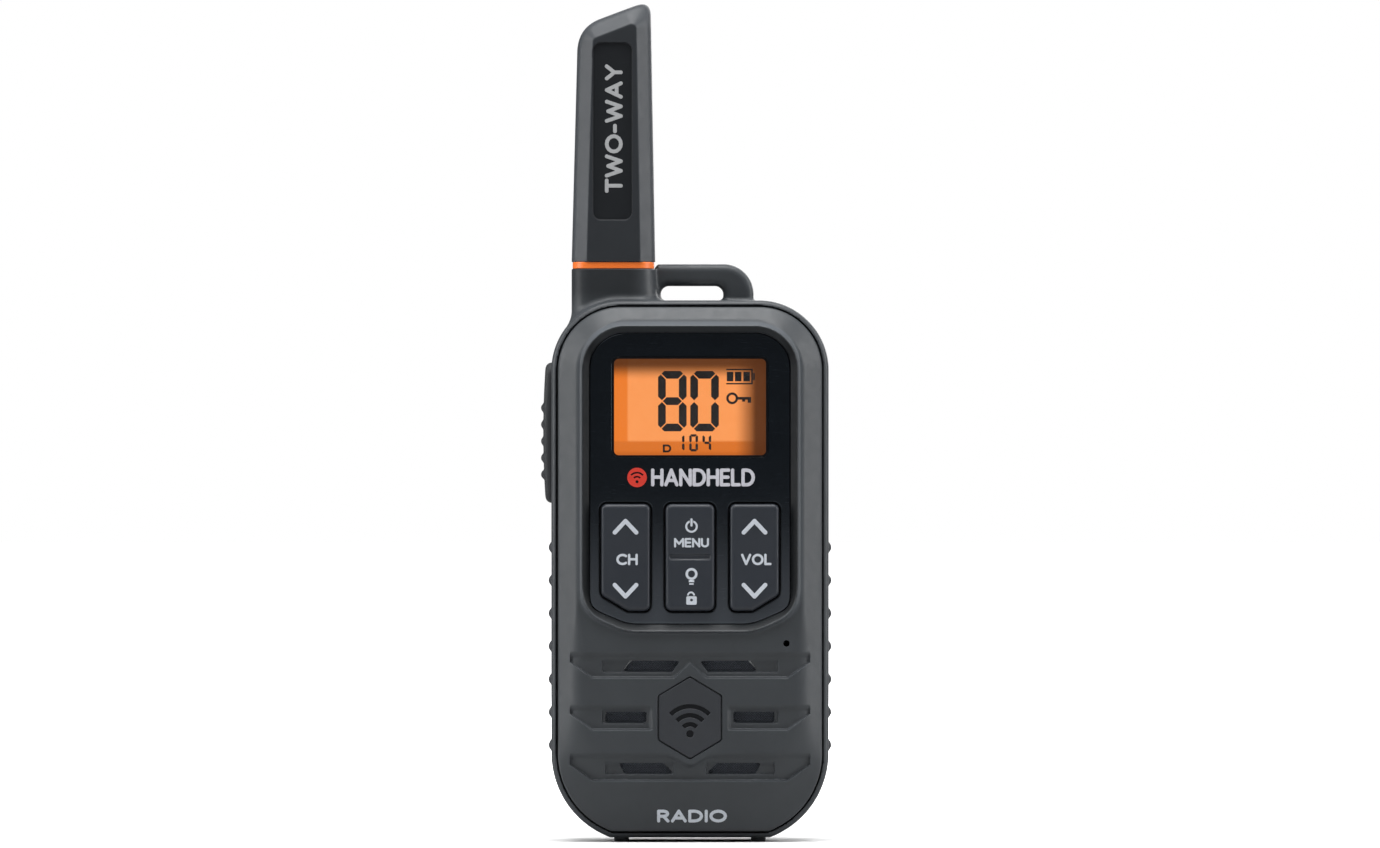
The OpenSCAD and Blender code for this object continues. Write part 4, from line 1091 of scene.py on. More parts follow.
def key_field(side):
    """Cap with a dished top. Behind it are a flange, the bar it rocks on and the nubs that press the mat."""
    back = KEY.hi[1]
    reach = np.array([KEY_HALF_W + 3, KEY_HALF_H + 3])
    outline = Sheet(lambda x, z: key_outline(x, z, side), -reach, reach)

    def field(x, y, z):
        x, z = x - side * KEY_PITCH, z - KEY_Z
        edge = outline(x, z)
        top = CREST + key_dish(x, z) - y
        cap = common(smax(edge, top, 1.0), y - back + 1.5)
        if side == 0:
            groove = smax(rect(x, z - 0.1, KEY_HALF_W - 0.8, 0.5, 0.4), y - CREST - 0.45, 0.3)
            cap = smax(cap, -groove, 0.3)
        flange = common(edge - KEY_FLANGE, slab(y, back - 1.9, back - 1.0))
        bar = common(disc(y - back + KEY_BAR_R, z, KEY_BAR_R), np.abs(x) - 3.0)
        nubs = common(disc(x, np.abs(z) - 7.0, 1.5), slab(y, back - 1.3, back - 0.4))
        return join(cap, flange, bar, nubs)

    return field


def fan(a, b):
    """The quarter of the plane that opens upward from the origin."""
    return (np.abs(a) - b) * DIAGONAL


def badge_field(x, y, z):
    """Plain arcs over a dot, sunk into a hexagonal plate."""
    low = z - BADGE.mid[2] + 3.2
    arcs = common(join(*(np.abs(disc(x, low, r)) - 0.45 for r in (1.9, 3.7, 5.5))), fan(x, low))
    mark = join(arcs, disc(x, low, 0.75))
    plate = smax(badge(x, z), slab(y, BADGE.lo[1], BADGE.hi[1]), 0.3)
    return smax(plate, -smax(mark, y - BADGE.lo[1] - 0.4, 0.12), 0.12)


def talk_field(x, y, z):
    """Long button bowed outward in the middle, with five ribs and a flange behind the shell's wall."""
    _, talk_y, talk_z = TALK.mid
    _, flange_half_d, flange_half_h = TALK.half
    half_d, half_h = flange_half_d - 0.7, flange_half_h - 0.4
    rib_x = TALK.lo[0] + 1.0
    outline = rect(y - talk_y, z - talk_z, half_d, half_h, 2.4)
    bow = 0.5 * ((z - talk_z) / half_h) ** 2
    outer = TALK.lo[0] + 0.45 + bow
    cap = common(smax(outline, outer - x, 1.5), x - TALK.hi[0] + 1.1)
    ribs = [
        smax(disc(x - rib_x, z - talk_z - 5 + 3.35 * i, 1.0), np.abs(y - talk_y) - 2.5, 0.5)
        for i in range(5)
    ]
    cap = smin(cap, join(*ribs), 0.35)
    flange = rect(y - talk_y, z - talk_z, flange_half_d, flange_half_h)
    return join(cap, common(flange, slab(x, TALK.hi[0] - 1.2, TALK.hi[0])))


def grip_field(x, y, z):
    """Rubber strip with half-round ribs, on the right; the left one is its mirror image."""
    first, pitch, count = 19.3, 6.62, 7
    strip = smax(grip_strip(y, z), slab(x, HALF_W - 0.45, HALF_W + 0.02), 0.1)
    nearest = first + pitch * np.clip(np.round((z - first) / pitch), 0, count - 1)
    rib = smax(disc(x - HALF_W + 0.65, z - nearest, 1.25), np.abs(y - GRIP.mid[1]) - 4.5, 0.9)
    return common(smin(strip, rib, 0.3), HALF_W - 0.45 - x)


def sleeve_outline(x, z):
    """Seen from the front: sides lean in and the top slopes down to the left."""

    def line(a, b):
        dx, dz = b[0] - a[0], b[1] - a[1]
        return ((x - a[0]) * dz - (z - a[1]) * dx) / math.hypot(dx, dz)

    left, right = ANTENNA_X - ANTENNA_HALF_W, ANTENNA_X + ANTENNA_HALF_W
    peak = (ANTENNA_X + 7.48, 169.1)
    shoulder = (ANTENNA_X - 7.15, 163.6)
    sides = line((right, SLEEVE.lo[2]), peak), line(shoulder, (left, SLEEVE.lo[2]))
    top = line(peak, shoulder)
    return smax(smax(sides[0], top, 3.0), sides[1], 4.6)


def sleeve_face(x, z):
    """The flat face inside the sleeve's bevels."""
    left, right, top = ANTENNA_X - 5.8, ANTENNA_X + 5.7, SLEEVE.hi[2]
    points = [(left, 100.0), (right, 100.0), (right - 1.1, top - 3.2), (left + 1.7, top - 6.6)]
    return polygon(x, z, points, 1.0)


def sleeve_field():
    """Antenna sleeve with bevelled edges, a sunken field for its word and a bore from below."""
    outline, face = sheet_over(SLEEVE, sleeve_outline), sheet_over(SLEEVE, sleeve_face)

    def field(x, y, z):
        flat, inner = outline(x, z), face(x, z)
        deep = np.abs(y - ANTENNA_Y) - ANTENNA_HALF_D
        solid = smax(smax(flat, (inner + deep) * DIAGONAL, 0.9), deep, 0.25)
        label = rect(x - LABEL_X, z - LABEL_Z, LABEL_HALF_W, LABEL_HALF_H, LABEL_R)
        solid = smax(solid, -smax(label, y - SLEEVE.lo[1] - LABEL_DEPTH, 0.15), 0.15)
        bore = common(disc(x - ANTENNA_X, y - ANTENNA_Y, ANTENNA_BORE), z - 160.0)
        return common(solid, SLEEVE.lo[2] - z, -bore)

    return field


def ring_field(x, y, z):
    """The orange ring under the antenna sleeve."""
    section = rect(x - ANTENNA_X, y - ANTENNA_Y, RING.hi[0] - ANTENNA_X, RING.hi[1] - ANTENNA_Y, 3.9)
    band = smax(section, slab(z, RING.lo[2], RING.hi[2]), 0.15)
    return common(band, -disc(x - ANTENNA_X, y - ANTENNA_Y, ANTENNA_BORE))


def lens_field(x, y, z):
    """Domed lens with a flange that holds it in from behind."""
    lens_x, lens_y, _ = LENS.mid
    flange_r = LENS.hi[0] - lens_x
    from_axis = np.sqrt((x - lens_x) ** 2 + (y - lens_y) ** 2)
    dome = z - LENS.hi[2] + 0.03 * from_axis**2
    pupil = smax(from_axis - flange_r + 0.6, dome, 0.3)
    flange = common(from_axis - flange_r, z - LENS.lo[2] - 0.85)
    return common(join(pupil, flange), LENS.lo[2] - z)


def cover_field(x, y, z):
    """Rubber flap over the sockets, with its hinge barrel, finger nick and plug."""
    middle, half = COVER.mid[2], COVER.half[2]
    hinge_y = COVER.hi[1] - 0.4
    inner = HALF_W - 0.9
    flat = rect(y - (COVER.lo[1] + hinge_y) / 2, z - middle, (hinge_y - COVER.lo[1]) / 2, half, 0.35)
    flap = smax(flat, slab(x, inner, HALF_W - 0.05), 0.25)
    barrel = common(disc(x - HALF_W + 0.45, y - hinge_y, 0.4), np.abs(z - middle) - half)
    _, plug_y, plug_z = USB.mid
    plug = common(rect(y - plug_y, z - plug_z, 1.1, 3.9, 1.0), slab(x, inner - 0.5, inner + 0.1))
    nick = common(rect(y - COVER.lo[1], z - middle, 0.6, 3.0, 0.3), HALF_W - 0.3 - x)
    lines = common(np.abs(np.abs(z - middle) - 7.5) - 0.2, HALF_W - 0.2 - x)
    return cut(join(flap, barrel, plug), nick, lines)


def door_field(x, y, z):
    """Battery door with four finger grooves and the pocket its latch slides in."""
    middle, half = DOOR.mid[2], DOOR.half[2]
    inner = DOOR.lo[1] + 0.5
    plate = smax(rect(x, z - middle, DOOR.hi[0], half, 0.35), slab(y, DOOR.lo[1], DOOR.hi[1]), 0.25)
    pocket = common(rect(x, z - DOOR.lo[2] - 6.5, 6.1, 4.5, 0.5), inner - y)
    tongue_way = common(np.abs(x) - 3.1, z - DOOR.lo[2] - 3.0, inner - y)
    row = 44.6 + 3 * np.clip(np.round((z - 44.6) / 3), 0, 3)
    groove = smax(rect(x, z - row, 9.0, 0.6, 0.55), DOOR.hi[1] - 0.4 - y, 0.2)
    return smax(cut(plate, pocket, tongue_way), -groove, 0.2)


def latch_field(x, y, z):
    """Sliding latch with a tongue and three raised lines."""
    face = LATCH.hi[1] - 0.3
    half_h = 3.3
    body_slab = slab(y, LATCH.lo[1], face + 0.1)
    plate = smax(rect(x, z - LATCH.hi[2] + half_h, 6.0, half_h, 0.6), body_slab, 0.2)
    tongue = common(slab(z, LATCH.lo[2], LATCH.hi[2] - 6.0), np.abs(x) - 3.0, body_slab)
    row = 9.6 + 1.8 * np.clip(np.round((z - 9.6) / 1.8), 0, 2)
    line = smax(rect(x, z - row, 4.0, 0.4, 0.35), slab(y, face - 0.2, LATCH.hi[1]), 0.15)
    return join(plate, tongue, line)


def clip_base_field(x, y, z):
    """Plate on the back with two ears that hold the pin, and two countersunk screw holes."""
    half_w = CLIP_BASE.hi[0]
    middle, half = CLIP_BASE.mid[2], CLIP_BASE.half[2]
    plate_top = BACK + 1.5
    plate = smax(rect(x, z - middle, half_w, half, 1.2), slab(y, CLIP_BASE.lo[1], plate_top), 0.3)
    stem = common(slab(y, CLIP_BASE.lo[1], PIN_Y), np.abs(z - PIN_Z) - 3 + 0.2 * (y - BACK))
    ear = join(disc(y - PIN_Y, z - PIN_Z, 2.2), stem)
    ear = smax(ear, slab(np.abs(x), half_w - 2, half_w), 0.3)
    solid = smin(plate, ear, 0.6)
    bore = disc(y - PIN_Y, z - PIN_Z, PIN_BORE)
    heads = rods(x, y, z, CLIP_SCREWS, 2.0, BACK + 0.8, BACK + 5)
    holes = rods(x, y, z, CLIP_SCREWS, 1.1, BACK - 1, BACK + 5)
    return cut(solid, bore, heads, holes)


def clip_lever_field(x, y, z):
    """Long lever with a raised middle panel, a turned-in tip and two ears on the pin."""
    half_w = CLIP.hi[0]
    middle, half = CLIP.mid[2], CLIP.half[2]
    outer = CLIP.hi[1]
    inner = outer - 1.6
    outline = rect(x, z - middle, half_w, half, 3.0)
    strap = smax(outline, slab(y, inner, outer), 0.7)
    tip_z = z - CLIP.lo[2]
    profile = [
        (BACK + 0.5, 2.4), (inner - 2, 0.2), (outer, 0.0), (outer, 8.0), (inner, 8.0), (BACK + 1.6, 4.0)
    ]
    tip = smax(polygon(y, tip_z, profile, 0.3), np.abs(x) - half_w, 0.5)
    tip = smax(tip, outline, 0.5)
    ears = join(
        disc(y - PIN_Y, z - PIN_Z, 2.2), common(slab(y, PIN_Y, PIN_Y + 2.7), np.abs(z - PIN_Z) - 2.2)
    )
    ears = smax(ears, slab(np.abs(x), 3.0, 5.95), 0.2)
    solid = join(smin(strap, tip, 0.8), ears)
    panel = smax(rect(x, z - middle - 2, half_w - 3.2, half - 8, 2.0), outer - 0.35 - y, 0.25)
    row = middle + 16 - 2.2 * np.clip(np.round((middle + 16 - z) / 2.2), 0, 3)
    ribs = smax(rect(x, z - row, half_w - 5, 0.5, 0.45), outer - 0.05 - y, 0.2)
    solid = smax(solid, -cut(panel, ribs), 0.25)
    return cut(solid, disc(y - PIN_Y, z - PIN_Z, PIN_BORE))


def cells_field(x, y, z):
    """Three cells, the middle one upside down."""
    _, cell_y, middle = CELLS.mid
    index = np.clip(np.round(x / CELL_PITCH), -1, 1)
    up = np.where(np.abs(index) > 0.5, 1.0, -1.0) * (z - middle)
    half = CELLS.half[2]
    from_axis = np.sqrt((x - index * CELL_PITCH) ** 2 + (y - cell_y) ** 2)
    can = smax(from_axis - CELL_R, slab(up, -half + 0.2, half - 1.0), 0.9)
    groove = smax(np.abs(from_axis - CELL_R) - 0.12, np.abs(up - half + 2.6) - 0.25, 0.1)
    can = smax(can, -groove, 0.2)
    nub = smax(from_axis - 1.9, slab(up, 0.0, half), 0.4)
    return smin(can, nub, 0.4)


def cloth_field(x, y, z):
    """Disc of speaker cloth."""
    return common(disc(x, z - CLOTH.mid[2], CLOTH.hi[0]), slab(y, CLOTH.lo[1], CLOTH.hi[1]))


# ---- Printing ----

PRINT_DEPTH = 0.06  # printed marks stand this far out of the surface and reach as far into it
FIGURES = {"0": "abcdef", "1": "bc", "4": "bcfg", "8": "abcdefg"}  # segments, by their usual letters


def seven_segments(x, z, at, size, thick, figure):
    """A seven-segment figure with its lower left corner at a point."""
    w, h = size
    x, z = x - at[0], z - at[1]
    gap, chamfer = 0.075 * thick, 0.8 * thick
    side, end = np.minimum(x, w - x), np.minimum(z, h - z)
    corner = (chamfer - side - end) * DIAGONAL
    flat = common(slab(end, 0, thick), (end - side) * DIAGONAL + gap, corner)
    middle = np.abs(z - h / 2)
    point = (np.abs(side - thick / 2) - middle) * DIAGONAL + gap
    upright = common(slab(side, 0, thick), (side - end) * DIAGONAL + gap, corner, point)
    bridge = common(middle - thick / 2, (middle + thick / 2 - side) * DIAGONAL + gap)
    upper, lower, on_left, on_right = h / 2 - z, z - h / 2, x - w / 2, w / 2 - x
    shapes = {
        "a": common(flat, upper), "d": common(flat, lower), "g": bridge,
        "b": common(upright, upper, on_right), "c": common(upright, lower, on_right),
        "e": common(upright, lower, on_left), "f": common(upright, upper, on_left),
    }
    return join(*(shapes[name] for name in FIGURES[figure]))


def display_marks(x, z):
    """The figures and symbols on the display."""
    floor = DISPLAY.mid[2] - DISPLAY_HALF_H
    big, small = (5.72, 12.1), (1.75, 3.45)
    marks = [
        seven_segments(x, z, (-6.4, floor + 4.78), big, 1.55, "8"),
        seven_segments(x, z, (0.06, floor + 4.78), big, 1.55, "0"),
    ]
    for figure, left in (("1", -2.85), ("0", -0.15), ("4", 2.5)):
        marks.append(seven_segments(x, z, (left, floor + 0.75), small, 0.5, figure))
    level = floor + 15.75
    lines = common(np.abs(np.abs(z - level) - 1.42) - 0.15, slab(x, 7.26, 12.6))
    marks += [lines, rect(x - 12.42, z - level, 0.16, 1.55), rect(x - 12.82, z - level, 0.18, 0.72)]
    marks += [rect(x - cx, z - level, 0.66, 0.95) for cx in (8.03, 9.65, 11.35)]
    level = floor + 11.4
    marks += [
        np.abs(disc(x - 8.45, z - level, 0.94)) - 0.24,
        rect(x - 10.85, z - level, 1.4, 0.27),
        rect(x - 10.75, z - level + 0.42, 0.3, 0.25),
        rect(x - 11.9, z - level + 0.5, 0.34, 0.4),
    ]
    level = floor + 1.35
    bowl = common(np.abs(rect(x + 5.0, z - level, 1.05, 0.6, 0.58)) - 0.2, -5.3 - x)
    marks += [bowl, rect(x + 5.25, z - level, 0.2, 0.8)]
    return join(*marks)


def chevron(x, z, at, rise):
    """A wide arrow head with its tip at a point; rise is 1 to point up and -1 to point down."""
    ends = ((at[0] + side * 2.15, at[1] - 2.3 * rise) for side in (-1, 1))
    return join(*(stroke(x, z, at, end, 0.42) for end in ends))


def key_symbols(side):
    """Symbols on a key's face, as a field of x and z."""
    centre = side * KEY_PITCH

    def arrows(x, z):
        return join(chevron(x, z, (centre, KEY_Z + 7.3), 1), chevron(x, z, (centre, KEY_Z - 7.8), -1))

    def signs(x, z):
        x, z = x - 0.3, z - KEY_Z
        power = common(np.abs(disc(x, z - 6.2, 1.05)) - 0.2, 0.35 - np.abs(x) - 9 * (z < 6.2))
        stem = stroke(x, z, (0, 6.4), (0, 7.6), 0.22)
        lamp = np.abs(disc(x, z + 3.3, 0.95)) - 0.25
        neck = join(rect(x, z + 4.75, 0.55, 0.2), rect(x, z + 5.3, 0.45, 0.16))
        lock = cut(rect(x, z + 8.6, 1.05, 0.85, 0.3), disc(x, z + 8.5, 0.28))
        shackle = common(np.abs(disc(x + 0.1, z + 7.6, 0.62)) - 0.17, -7.6 - z)
        return join(power, stem, lamp, neck, lock, shackle)

    return signs if side == 0 else arrows


def panel_sign(x, z):
    """A plain disc with a dot and two arcs left out of it."""
    a, b = x + 10.6, z - 72.35
    arcs = common(join(*(np.abs(disc(a, b, r)) - 0.17 for r in (0.9, 1.7))), fan(a, b))
    return cut(disc(a, z - 73.1, 1.95), arcs, disc(a, b + 0.1, 0.3))


def print_marks(name, marks, lo, hi, face, ink, node):
    """Prints flat marks, a field of x and z, as a thin closed layer laid on face, a function of x and z."""

    def field(x, y, z):
        return common(marks(x, z), np.abs(y - face(x, z)) - PRINT_DEPTH)

    across, up = np.linspace(lo[0], hi[0], 9)[:, None], np.linspace(lo[1], hi[1], 9)[None, :]
    depths = face(across, up)
    low = (lo[0], depths.min() + 0.7, lo[1])
    high = (hi[0], depths.max() - 0.7, hi[1])
    build(name, node, field, (0.08, 0.05, 0.08), finish=INK[ink], print_box=(low, high))


def bow(centre, radii, start, end, steps=8):
    """Points along part of an ellipse, from one angle to another in degrees."""
    angles = np.radians(np.linspace(start, end, steps + 1))
    return [(centre[0] + radii[0] * math.cos(t), centre[1] + radii[1] * math.sin(t)) for t in angles]


# Plain capitals: width, then strokes through points of a box of that width and height 1
CAPITALS = {
    "-": (0.35, [[(0, 0.42), (0.35, 0.42)]]),
    "A": (0.84, [[(0, 0), (0.42, 1), (0.84, 0)], [(0.16, 0.3), (0.68, 0.3)]]),
    "C": (0.8, [bow((0.48, 0.5), (0.48, 0.5), 48, 312, 12)]),
    "D": (0.78, [[(0, 0), (0, 1)] + bow((0.3, 0.5), (0.48, 0.5), 90, -90) + [(0, 0)]]),
    "E": (0.55, [[(0.55, 1), (0, 1), (0, 0), (0.55, 0)], [(0, 0.52), (0.5, 0.52)]]),
    "H": (0.7, [[(0, 0), (0, 1)], [(0.7, 0), (0.7, 1)], [(0, 0.52), (0.7, 0.52)]]),
    "I": (0.02, [[(0.01, 0), (0.01, 1)]]),
    "L": (0.5, [[(0, 1), (0, 0), (0.5, 0)]]),
    "M": (0.92, [[(0, 0), (0, 1), (0.46, 0.35), (0.92, 1), (0.92, 0)]]),
    "N": (0.72, [[(0, 0), (0, 1), (0.72, 0), (0.72, 1)]]),
    "O": (0.96, [bow((0.48, 0.5), (0.48, 0.5), 0, 360, 16)]),
    "R": (0.62, [[(0, 0), (0, 1)] + bow((0.32, 0.74), (0.28, 0.26), 90, -90, 6) + [(0, 0.48)],
                 [(0.32, 0.48), (0.62, 0)]]),
    "T": (0.66, [[(0, 1), (0.66, 1)], [(0.33, 1), (0.33, 0)]]),
    "U": (0.7, [[(0, 1)] + bow((0.35, 0.35), (0.35, 0.35), 180, 360) + [(0.7, 1)]]),
    "V": (0.8, [[(0, 1), (0.4, 0), (0.8, 1)]]),
    "W": (1.2, [[(0, 1), (0.3, 0), (0.6, 0.9), (0.9, 0), (1.2, 1)]]),
    "Y": (0.76, [[(0, 1), (0.38, 0.46), (0.76, 1)], [(0.38, 0.46), (0.38, 0)]]),
}


def word(text, width, height, weight):
    """A word as a field of two coordinates about its own centre. weight is the width of its strokes."""
    gap = 0.3
    natural = sum(CAPITALS[letter][0] for letter in text) + gap * (len(text) - 1)
    wide, high = (width - weight) / natural, height - weight
    lines, start = [], -natural / 2
    for letter in text:
        own_width, strokes = CAPITALS[letter]
        for points in strokes:
            moved = [((start + a) * wide, (b - 0.5) * high) for a, b in points]
            lines += zip(moved, moved[1:])
        start += own_width + gap

    def field(a, b):
        return join(*(stroke(a, b, p, q, weight / 2) for p, q in lines))

    return field


def print_word(name, text, size, at, face, ink, node, weight, upward=False):
    """Prints a word centred on a point of the x-z plane, level or reading upward."""
    letters = word(text, *size, weight)
    at = np.array(at)
    half = np.array(size[::-1] if upward else size) / 2

    def marks(x, z):
        return letters(z - at[1], at[0] - x) if upward else letters(x - at[0], z - at[1])

    print_marks(name, marks, at - half, at + half, face, ink, node)


# ---- Wire pieces ----


def tube(name, paths, r, node, bends=None):
    """Round wire along each path, closed at both ends.

    bends, when given, leaves the wire on no body and bakes its place into the mesh; the bodies and points
    that it holds are not used.
    """
    sides = 12
    points, faces = [], []
    for path in paths:
        path = np.array(path, float)
        ahead = np.gradient(path, axis=0)
        ahead /= np.linalg.norm(ahead, axis=1, keepdims=True)
        side = np.cross(ahead[0], (0.3, 0.9, 0.2))
        rings = []
        for centre, forward in zip(path, ahead):
            side = side - forward * (side @ forward)
            side /= np.linalg.norm(side)
            other = np.cross(forward, side)
            turn = 2 * math.pi * np.arange(sides) / sides
            rings.append(centre + r * (np.cos(turn)[:, None] * side + np.sin(turn)[:, None] * other))
        start = len(points)
        points += list(np.concatenate(rings)) + [path[0], path[-1]]
        n = len(path)
        first, last = start + n * sides, start + n * sides + 1
        for i in range(n - 1):
            for k in range(sides):
                a, b = start + i * sides + k, start + i * sides + (k + 1) % sides
                faces += [(a, b, b + sides), (a, b + sides, a + sides)]
        for k in range(sides):
            after = (k + 1) % sides
            faces.append((first, start + after, start + k))
            faces.append((last, first - sides + k, first - sides + after))
    mesh = mesh_from(name, points, np.array(faces))
    mesh.polygons.foreach_set("use_smooth", np.ones(len(mesh.polygons), bool))
    carrier = None if bends else frame["nodes"][node]["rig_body"]
    piece = add_piece(name, mesh, carrier, FINISHES[SLOTS[node]], SLOTS[node])
    if bends:
        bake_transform(piece)
    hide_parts(node)


def helix(axis_at, r0, r1, z0, z1, turns, steps=16):
    """Points along a coil about an upright axis, whose radius goes from r0 to r1."""
    t = np.linspace(0, 1, int(turns * steps) + 1)
    r = r0 + (r1 - r0) * t
    a = 2 * math.pi * turns * t
    return np.stack([axis_at[0] + r * np.cos(a), axis_at[1] + r * np.sin(a), z0 + (z1 - z0) * t], 1)


def wire_pieces():
    """Coils under the cells, the belt clip's spring across its joint, and the antenna's winding."""
    cell_y = CELLS.mid[1]
    box = Box("battery_springs")
    bottom, top = box.lo[2] + 0.3, box.hi[2] - 0.3
    springs = [helix((s * CELL_PITCH, cell_y), 3.6, 1.7, bottom, bottom + 2.7, 3.5) for s in (-1, 1)]
    springs.append(helix((0, cell_y), 3.6, 1.7, top, top - 2.7, 3.5))
    tube("battery_spring_coils", springs, 0.3, "battery_springs")

    turns, coil_r, half_length = 5, 1.75, 2.4
    along = np.linspace(-half_length, half_length, turns * 20 + 1)
    angle = math.pi + math.pi * turns * (along / half_length + 1)
    coil = np.stack([along, coil_r * np.cos(angle), coil_r * np.sin(angle)], 1)
    low_leg = [(-half_length, -2.1, -5), (-half_length, -1.9, -2.4)]
    high_leg = [(half_length, -1.2, 2.2), (half_length, 1.6, 5.2)]
    pin = np.array([0.0, PIN_Y, PIN_Z])
    path = np.concatenate([low_leg, coil, high_leg]) + pin
    low, high = (tuple((pin + (0.0, 0.0, rise)) * MM) for rise in (-2.0, 2.2))
    tube("clip_torsion_spring", [path], 0.28, "clip_spring", bends=("case", "clip", low, high))

    box = Box("antenna_coil")
    winding = helix((ANTENNA_X, ANTENNA_Y), 2.5, 2.5, box.lo[2] + 0.35, box.hi[2] - 0.35, 13, 24)
    tube("antenna_winding", [winding], 0.35, "antenna_coil")


# ---- The pieces ----


def build_pieces():
    """Every piece that is rebuilt: its name, its CAD node, its field, the voxels' size and the share kept."""
    build("front_case", "front_shell", front_shell_field(), (0.22, 0.25, 0.2), 0.22, FRONT_PLASTIC)
    build("rear_case", "rear_shell", rear_shell, 0.3, 0.22, REAR_PLASTIC)
    build("fascia", "fascia_panel", fascia_field(), (0.2, 0.16, 0.2))
    build("window", "display_window", window_field, 0.25)
    build("display_face", "display_glass", glass_field, 0.3)
    for node, side in KEYS.items():
        build(node.replace("_", "_cap_"), node, key_field(side), 0.14, 0.4)
    build("badge", "badge_plate", badge_field, (0.12, 0.08, 0.12))
    build("talk_bar", "talk_button", talk_field, 0.16, 0.5, TALK_RUBBER)
    build("right_grip_strip", "right_grip", grip_field, 0.18, 0.5)
    build("left_grip_strip", "left_grip", lambda x, y, z: grip_field(-x, y, z), 0.18, 0.5)
    build("antenna_cover", "antenna_sleeve", sleeve_field(), 0.2, 0.35)
    build("antenna_band", "antenna_ring", ring_field, 0.14, 0.5)
    build("torch_window", "torch_lens", lens_field, 0.14, 0.5, LENS_RINGS)
    build("socket_cover", "port_cover", cover_field, 0.12, 0.5)
    build("bay_door", "battery_door", door_field, 0.22, 0.4)
    build("bay_latch", "door_latch", latch_field, 0.12, 0.5)
    build("clip_bracket", "clip_base", clip_base_field, 0.16, 0.4)
    build("clip_strap", "clip_lever", clip_lever_field, 0.2, 0.4)
    build("cells", "battery_cells", cells_field, 0.25, 0.4)
    build("grille_cloth", "speaker_cloth", cloth_field, (0.3, 0.08, 0.3))
    wire_pieces()


def flat_at(y):
    """A flat face for print_marks, as a function that gives y at any x and z."""
    return lambda x, z: y + 0.0 * (x + z)


def key_face(side):
    """A key's dished face, for print_marks."""
    return lambda x, z: CREST + key_dish(x - side * KEY_PITCH, z - KEY_Z)


def base_face(x, z):
    """Depth of the front shell's bevel near the middle of its bottom edge."""
    return CREST + relief(0.0 * x, z) - PRINT_DEPTH


def build_printing():
    """Lettering and symbols, each laid on the face that carries it."""
    glass = flat_at(GLASS.lo[1])
    print_marks(
        "display_figures", display_marks, (-DISPLAY_HALF_W, DISPLAY.mid[2] - DISPLAY_HALF_H),
        (DISPLAY_HALF_W, DISPLAY.mid[2] + DISPLAY_HALF_H), glass, "segment", "display_glass",
    )
    for node, side in KEYS.items():
        centre = side * KEY_PITCH
        print_marks(
            node + "_symbols", key_symbols(side), (centre - KEY_HALF_W, KEY_Z - KEY_HALF_H),
            (centre + KEY_HALF_W, KEY_Z + KEY_HALF_H), key_face(side), "legend", node,
        )
    for node, text, size, at, weight in (
        ("channel_key", "CH", (4.3, 2.3), (-12.6, KEY_Z - 0.4), 0.48),
        ("volume_key", "VOL", (6.1, 2.3), (13.25, KEY_Z - 0.4), 0.48),
        ("menu_key", "MENU", (7.0, 1.9), (0.3, KEY_Z + 2.95), 0.42),
    ):
        name = node.replace("_key", "_word")
        print_word(name, text, size, at, key_face(KEYS[node]), "legend", node, weight)
    panel = flat_at(FASCIA.lo[1])
    print_word("panel_word", "HANDHELD", (20.8, 3.6), (2.6, 73.1), panel, "panel", "fascia_panel", 0.68)
    print_marks("panel_disc", panel_sign, (-13.5, 70.5), (-7.8, 75.7), panel, "red", "fascia_panel")
    print_word("base_word", "RADIO", (14.0, 2.6), (0.4, 5.3), base_face, "legend", "front_shell", 0.62)
    label = flat_at(SLEEVE.lo[1] + LABEL_DEPTH)
    at = (ANTENNA_X + 0.1, 143.1)
    print_word("antenna_word", "TWO-WAY", (25.8, 3.6), at, label, "grey", "antenna_sleeve", 0.75, True)


def dress_frame():
    """Gives every CAD node that stays its procedural finish."""
    for node, thing in frame["nodes"].items():
        thing.data.materials.clear()
        # The microphone takes the near-black painted shade in place of its own finish.
        thing.data.materials.append(MIC_HOLE_SHADE if node == "microphone" else FINISHES[SLOTS[node]])


# ---- Stage ----


def area_light(name, at, aim, size, power):
    """A rectangular light that the camera does not see."""
    data = bpy.data.lights.new(name, "AREA")
    data.shape = "RECTANGLE"
    data.size, data.size_y = size
    data.energy = power
    light = bpy.data.objects.new(name, data)
    bpy.context.scene.collection.objects.link(light)
    light.location = at
    light.rotation_euler = (Vector(aim) - Vector(at)).to_track_quat("-Z", "Y").to_euler()
    light.visible_camera = False


def soft_world():
    """White behind the object for the camera; a dim room that brightens overhead for everything else."""
    world = bpy.data.worlds.new("studio")
    bpy.context.scene.world = world
    world.use_nodes = True
    nodes, links = world.node_tree.nodes, world.node_tree.links
    split = nodes.new("ShaderNodeSeparateXYZ")
    links.new(nodes.new("ShaderNodeTexCoord").outputs["Generated"], split.inputs["Vector"])
    overhead = nodes.new("ShaderNodeMapRange")
    overhead.interpolation_type = "SMOOTHSTEP"
    overhead.inputs["From Min"].default_value = 0.1
    overhead.inputs["From Max"].default_value = 0.9
    overhead.inputs["To Min"].default_value = 0.09
    overhead.inputs["To Max"].default_value = 0.5
    links.new(split.outputs["Z"], overhead.inputs["Value"])
    choose = nodes.new("ShaderNodeMapRange")
    choose.inputs["To Max"].default_value = 1.0
    links.new(nodes.new("ShaderNodeLightPath").outputs["Is Camera Ray"], choose.inputs["Value"])
    links.new(overhead.outputs[0], choose.inputs["To Min"])
    links.new(choose.outputs[0], nodes["Background"].inputs["Strength"])
    nodes["Background"].inputs["Color"].default_value = (1, 1, 1, 1)


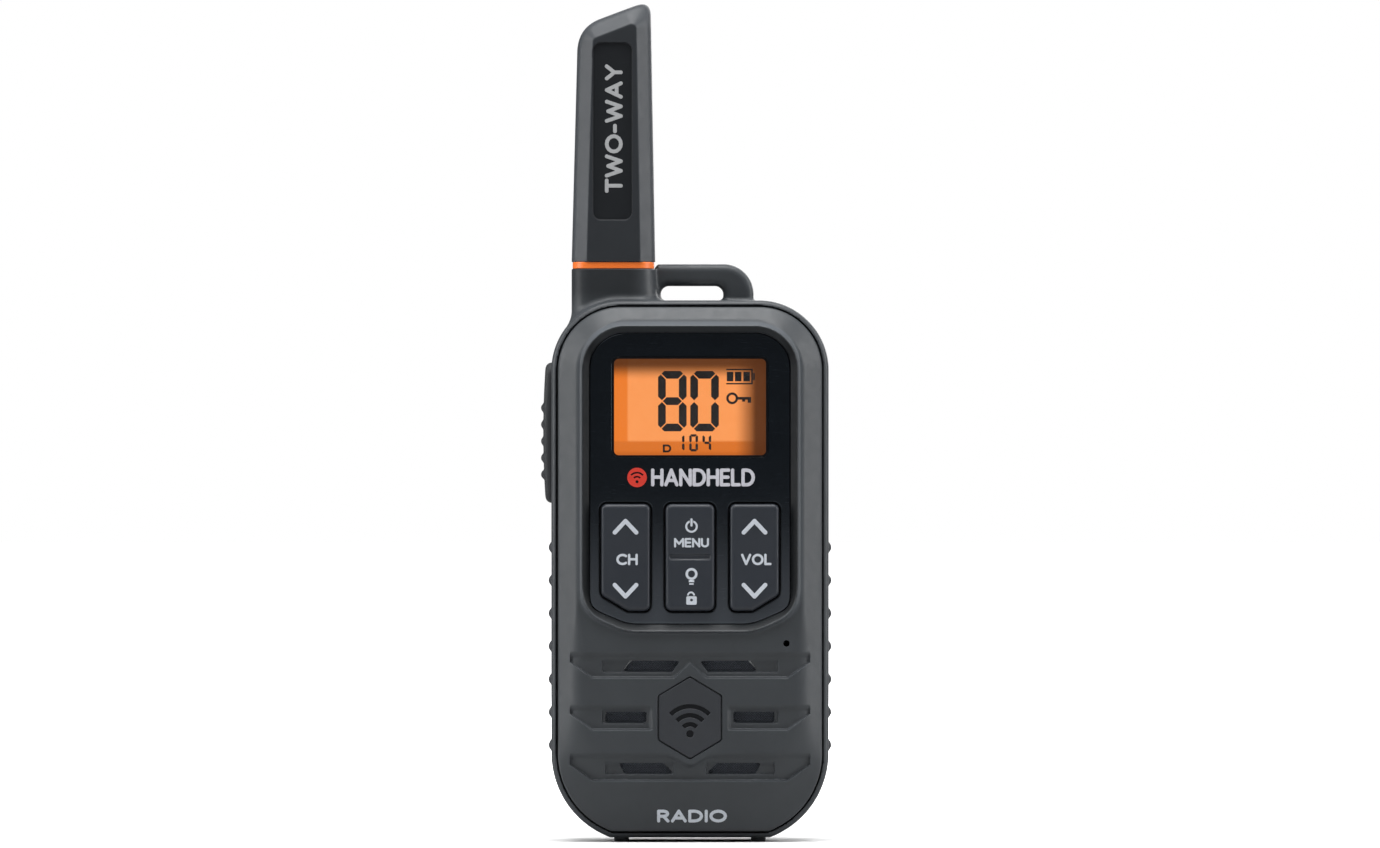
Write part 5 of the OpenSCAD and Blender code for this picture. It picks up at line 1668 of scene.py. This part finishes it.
def studio_floor():
    """Matt white paper that takes the contact shadow and fades into the white background further away."""
    p = Paint("floor_paint")
    ray = p.add("ShaderNodeLightPath", {}, "Is Camera Ray")
    fibres = p.uneven(0.5, 0.9, 0.94, 4.0)
    tone = p.times(fibres, p.span(ray, 0.0, 1.0, 0.45, 1.0))
    away = p.add("ShaderNodeVectorMath", {0: p.mm}, "Value", operation="LENGTH")
    glow = p.times(p.span(away, 60.0, 420.0, 0.0, 1.0, True), ray)
    material = p.surface(
        Base_Color=p.add("ShaderNodeCombineColor", {0: tone, 1: tone, 2: tone}), Roughness=0.85,
        Specular_IOR_Level=0.1, Emission_Color=(1.0, 1.0, 1.0, 1.0), Emission_Strength=glow,
    )
    half = 6000.0
    corners = [(-half, -half, 0), (half, -half, 0), (half, half, 0), (-half, half, 0)]
    mesh = mesh_from("floor", corners, np.array([[0, 1, 2, 3]]))
    mesh.materials.append(material)
    floor = bpy.data.objects.new("floor", mesh)
    bpy.context.scene.collection.objects.link(floor)


def set_stage():
    """World, lights, floor and a camera that looks straight at the front."""
    scene = bpy.context.scene
    scene.view_settings.view_transform = "Standard"
    soft_world()
    low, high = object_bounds()
    middle = (low + high) / 2
    area_light("top_light", (0.0, -0.18, 1.0), middle, (0.9, 0.6), 11)
    area_light("left_light", (-0.8, -0.12, 0.25), middle, (0.3, 0.9), 5.0)
    area_light("right_light", (0.8, -0.12, 0.25), middle, (0.3, 0.9), 5.0)
    area_light("front_light", (-0.35, -0.9, 0.85), middle, (0.6, 0.5), 1.8)
    area_light("back_light", (0.3, 1.0, 0.5), middle, (0.9, 0.7), 7)
    studio_floor()

    distance, view_height, eye_height = 2.4, 0.1696, 0.0838
    data = bpy.data.cameras.new("camera")
    data.sensor_width = 36
    data.lens = data.sensor_width * distance / (view_height * 1380 / 848)
    camera = bpy.data.objects.new("camera", data)
    scene.collection.objects.link(camera)
    camera.location = (0.0, CREST * MM - distance, eye_height)
    camera.rotation_euler = (math.pi / 2, 0, 0)
    scene.camera = camera


dress_frame()
build_pieces()
build_printing()
set_stage()
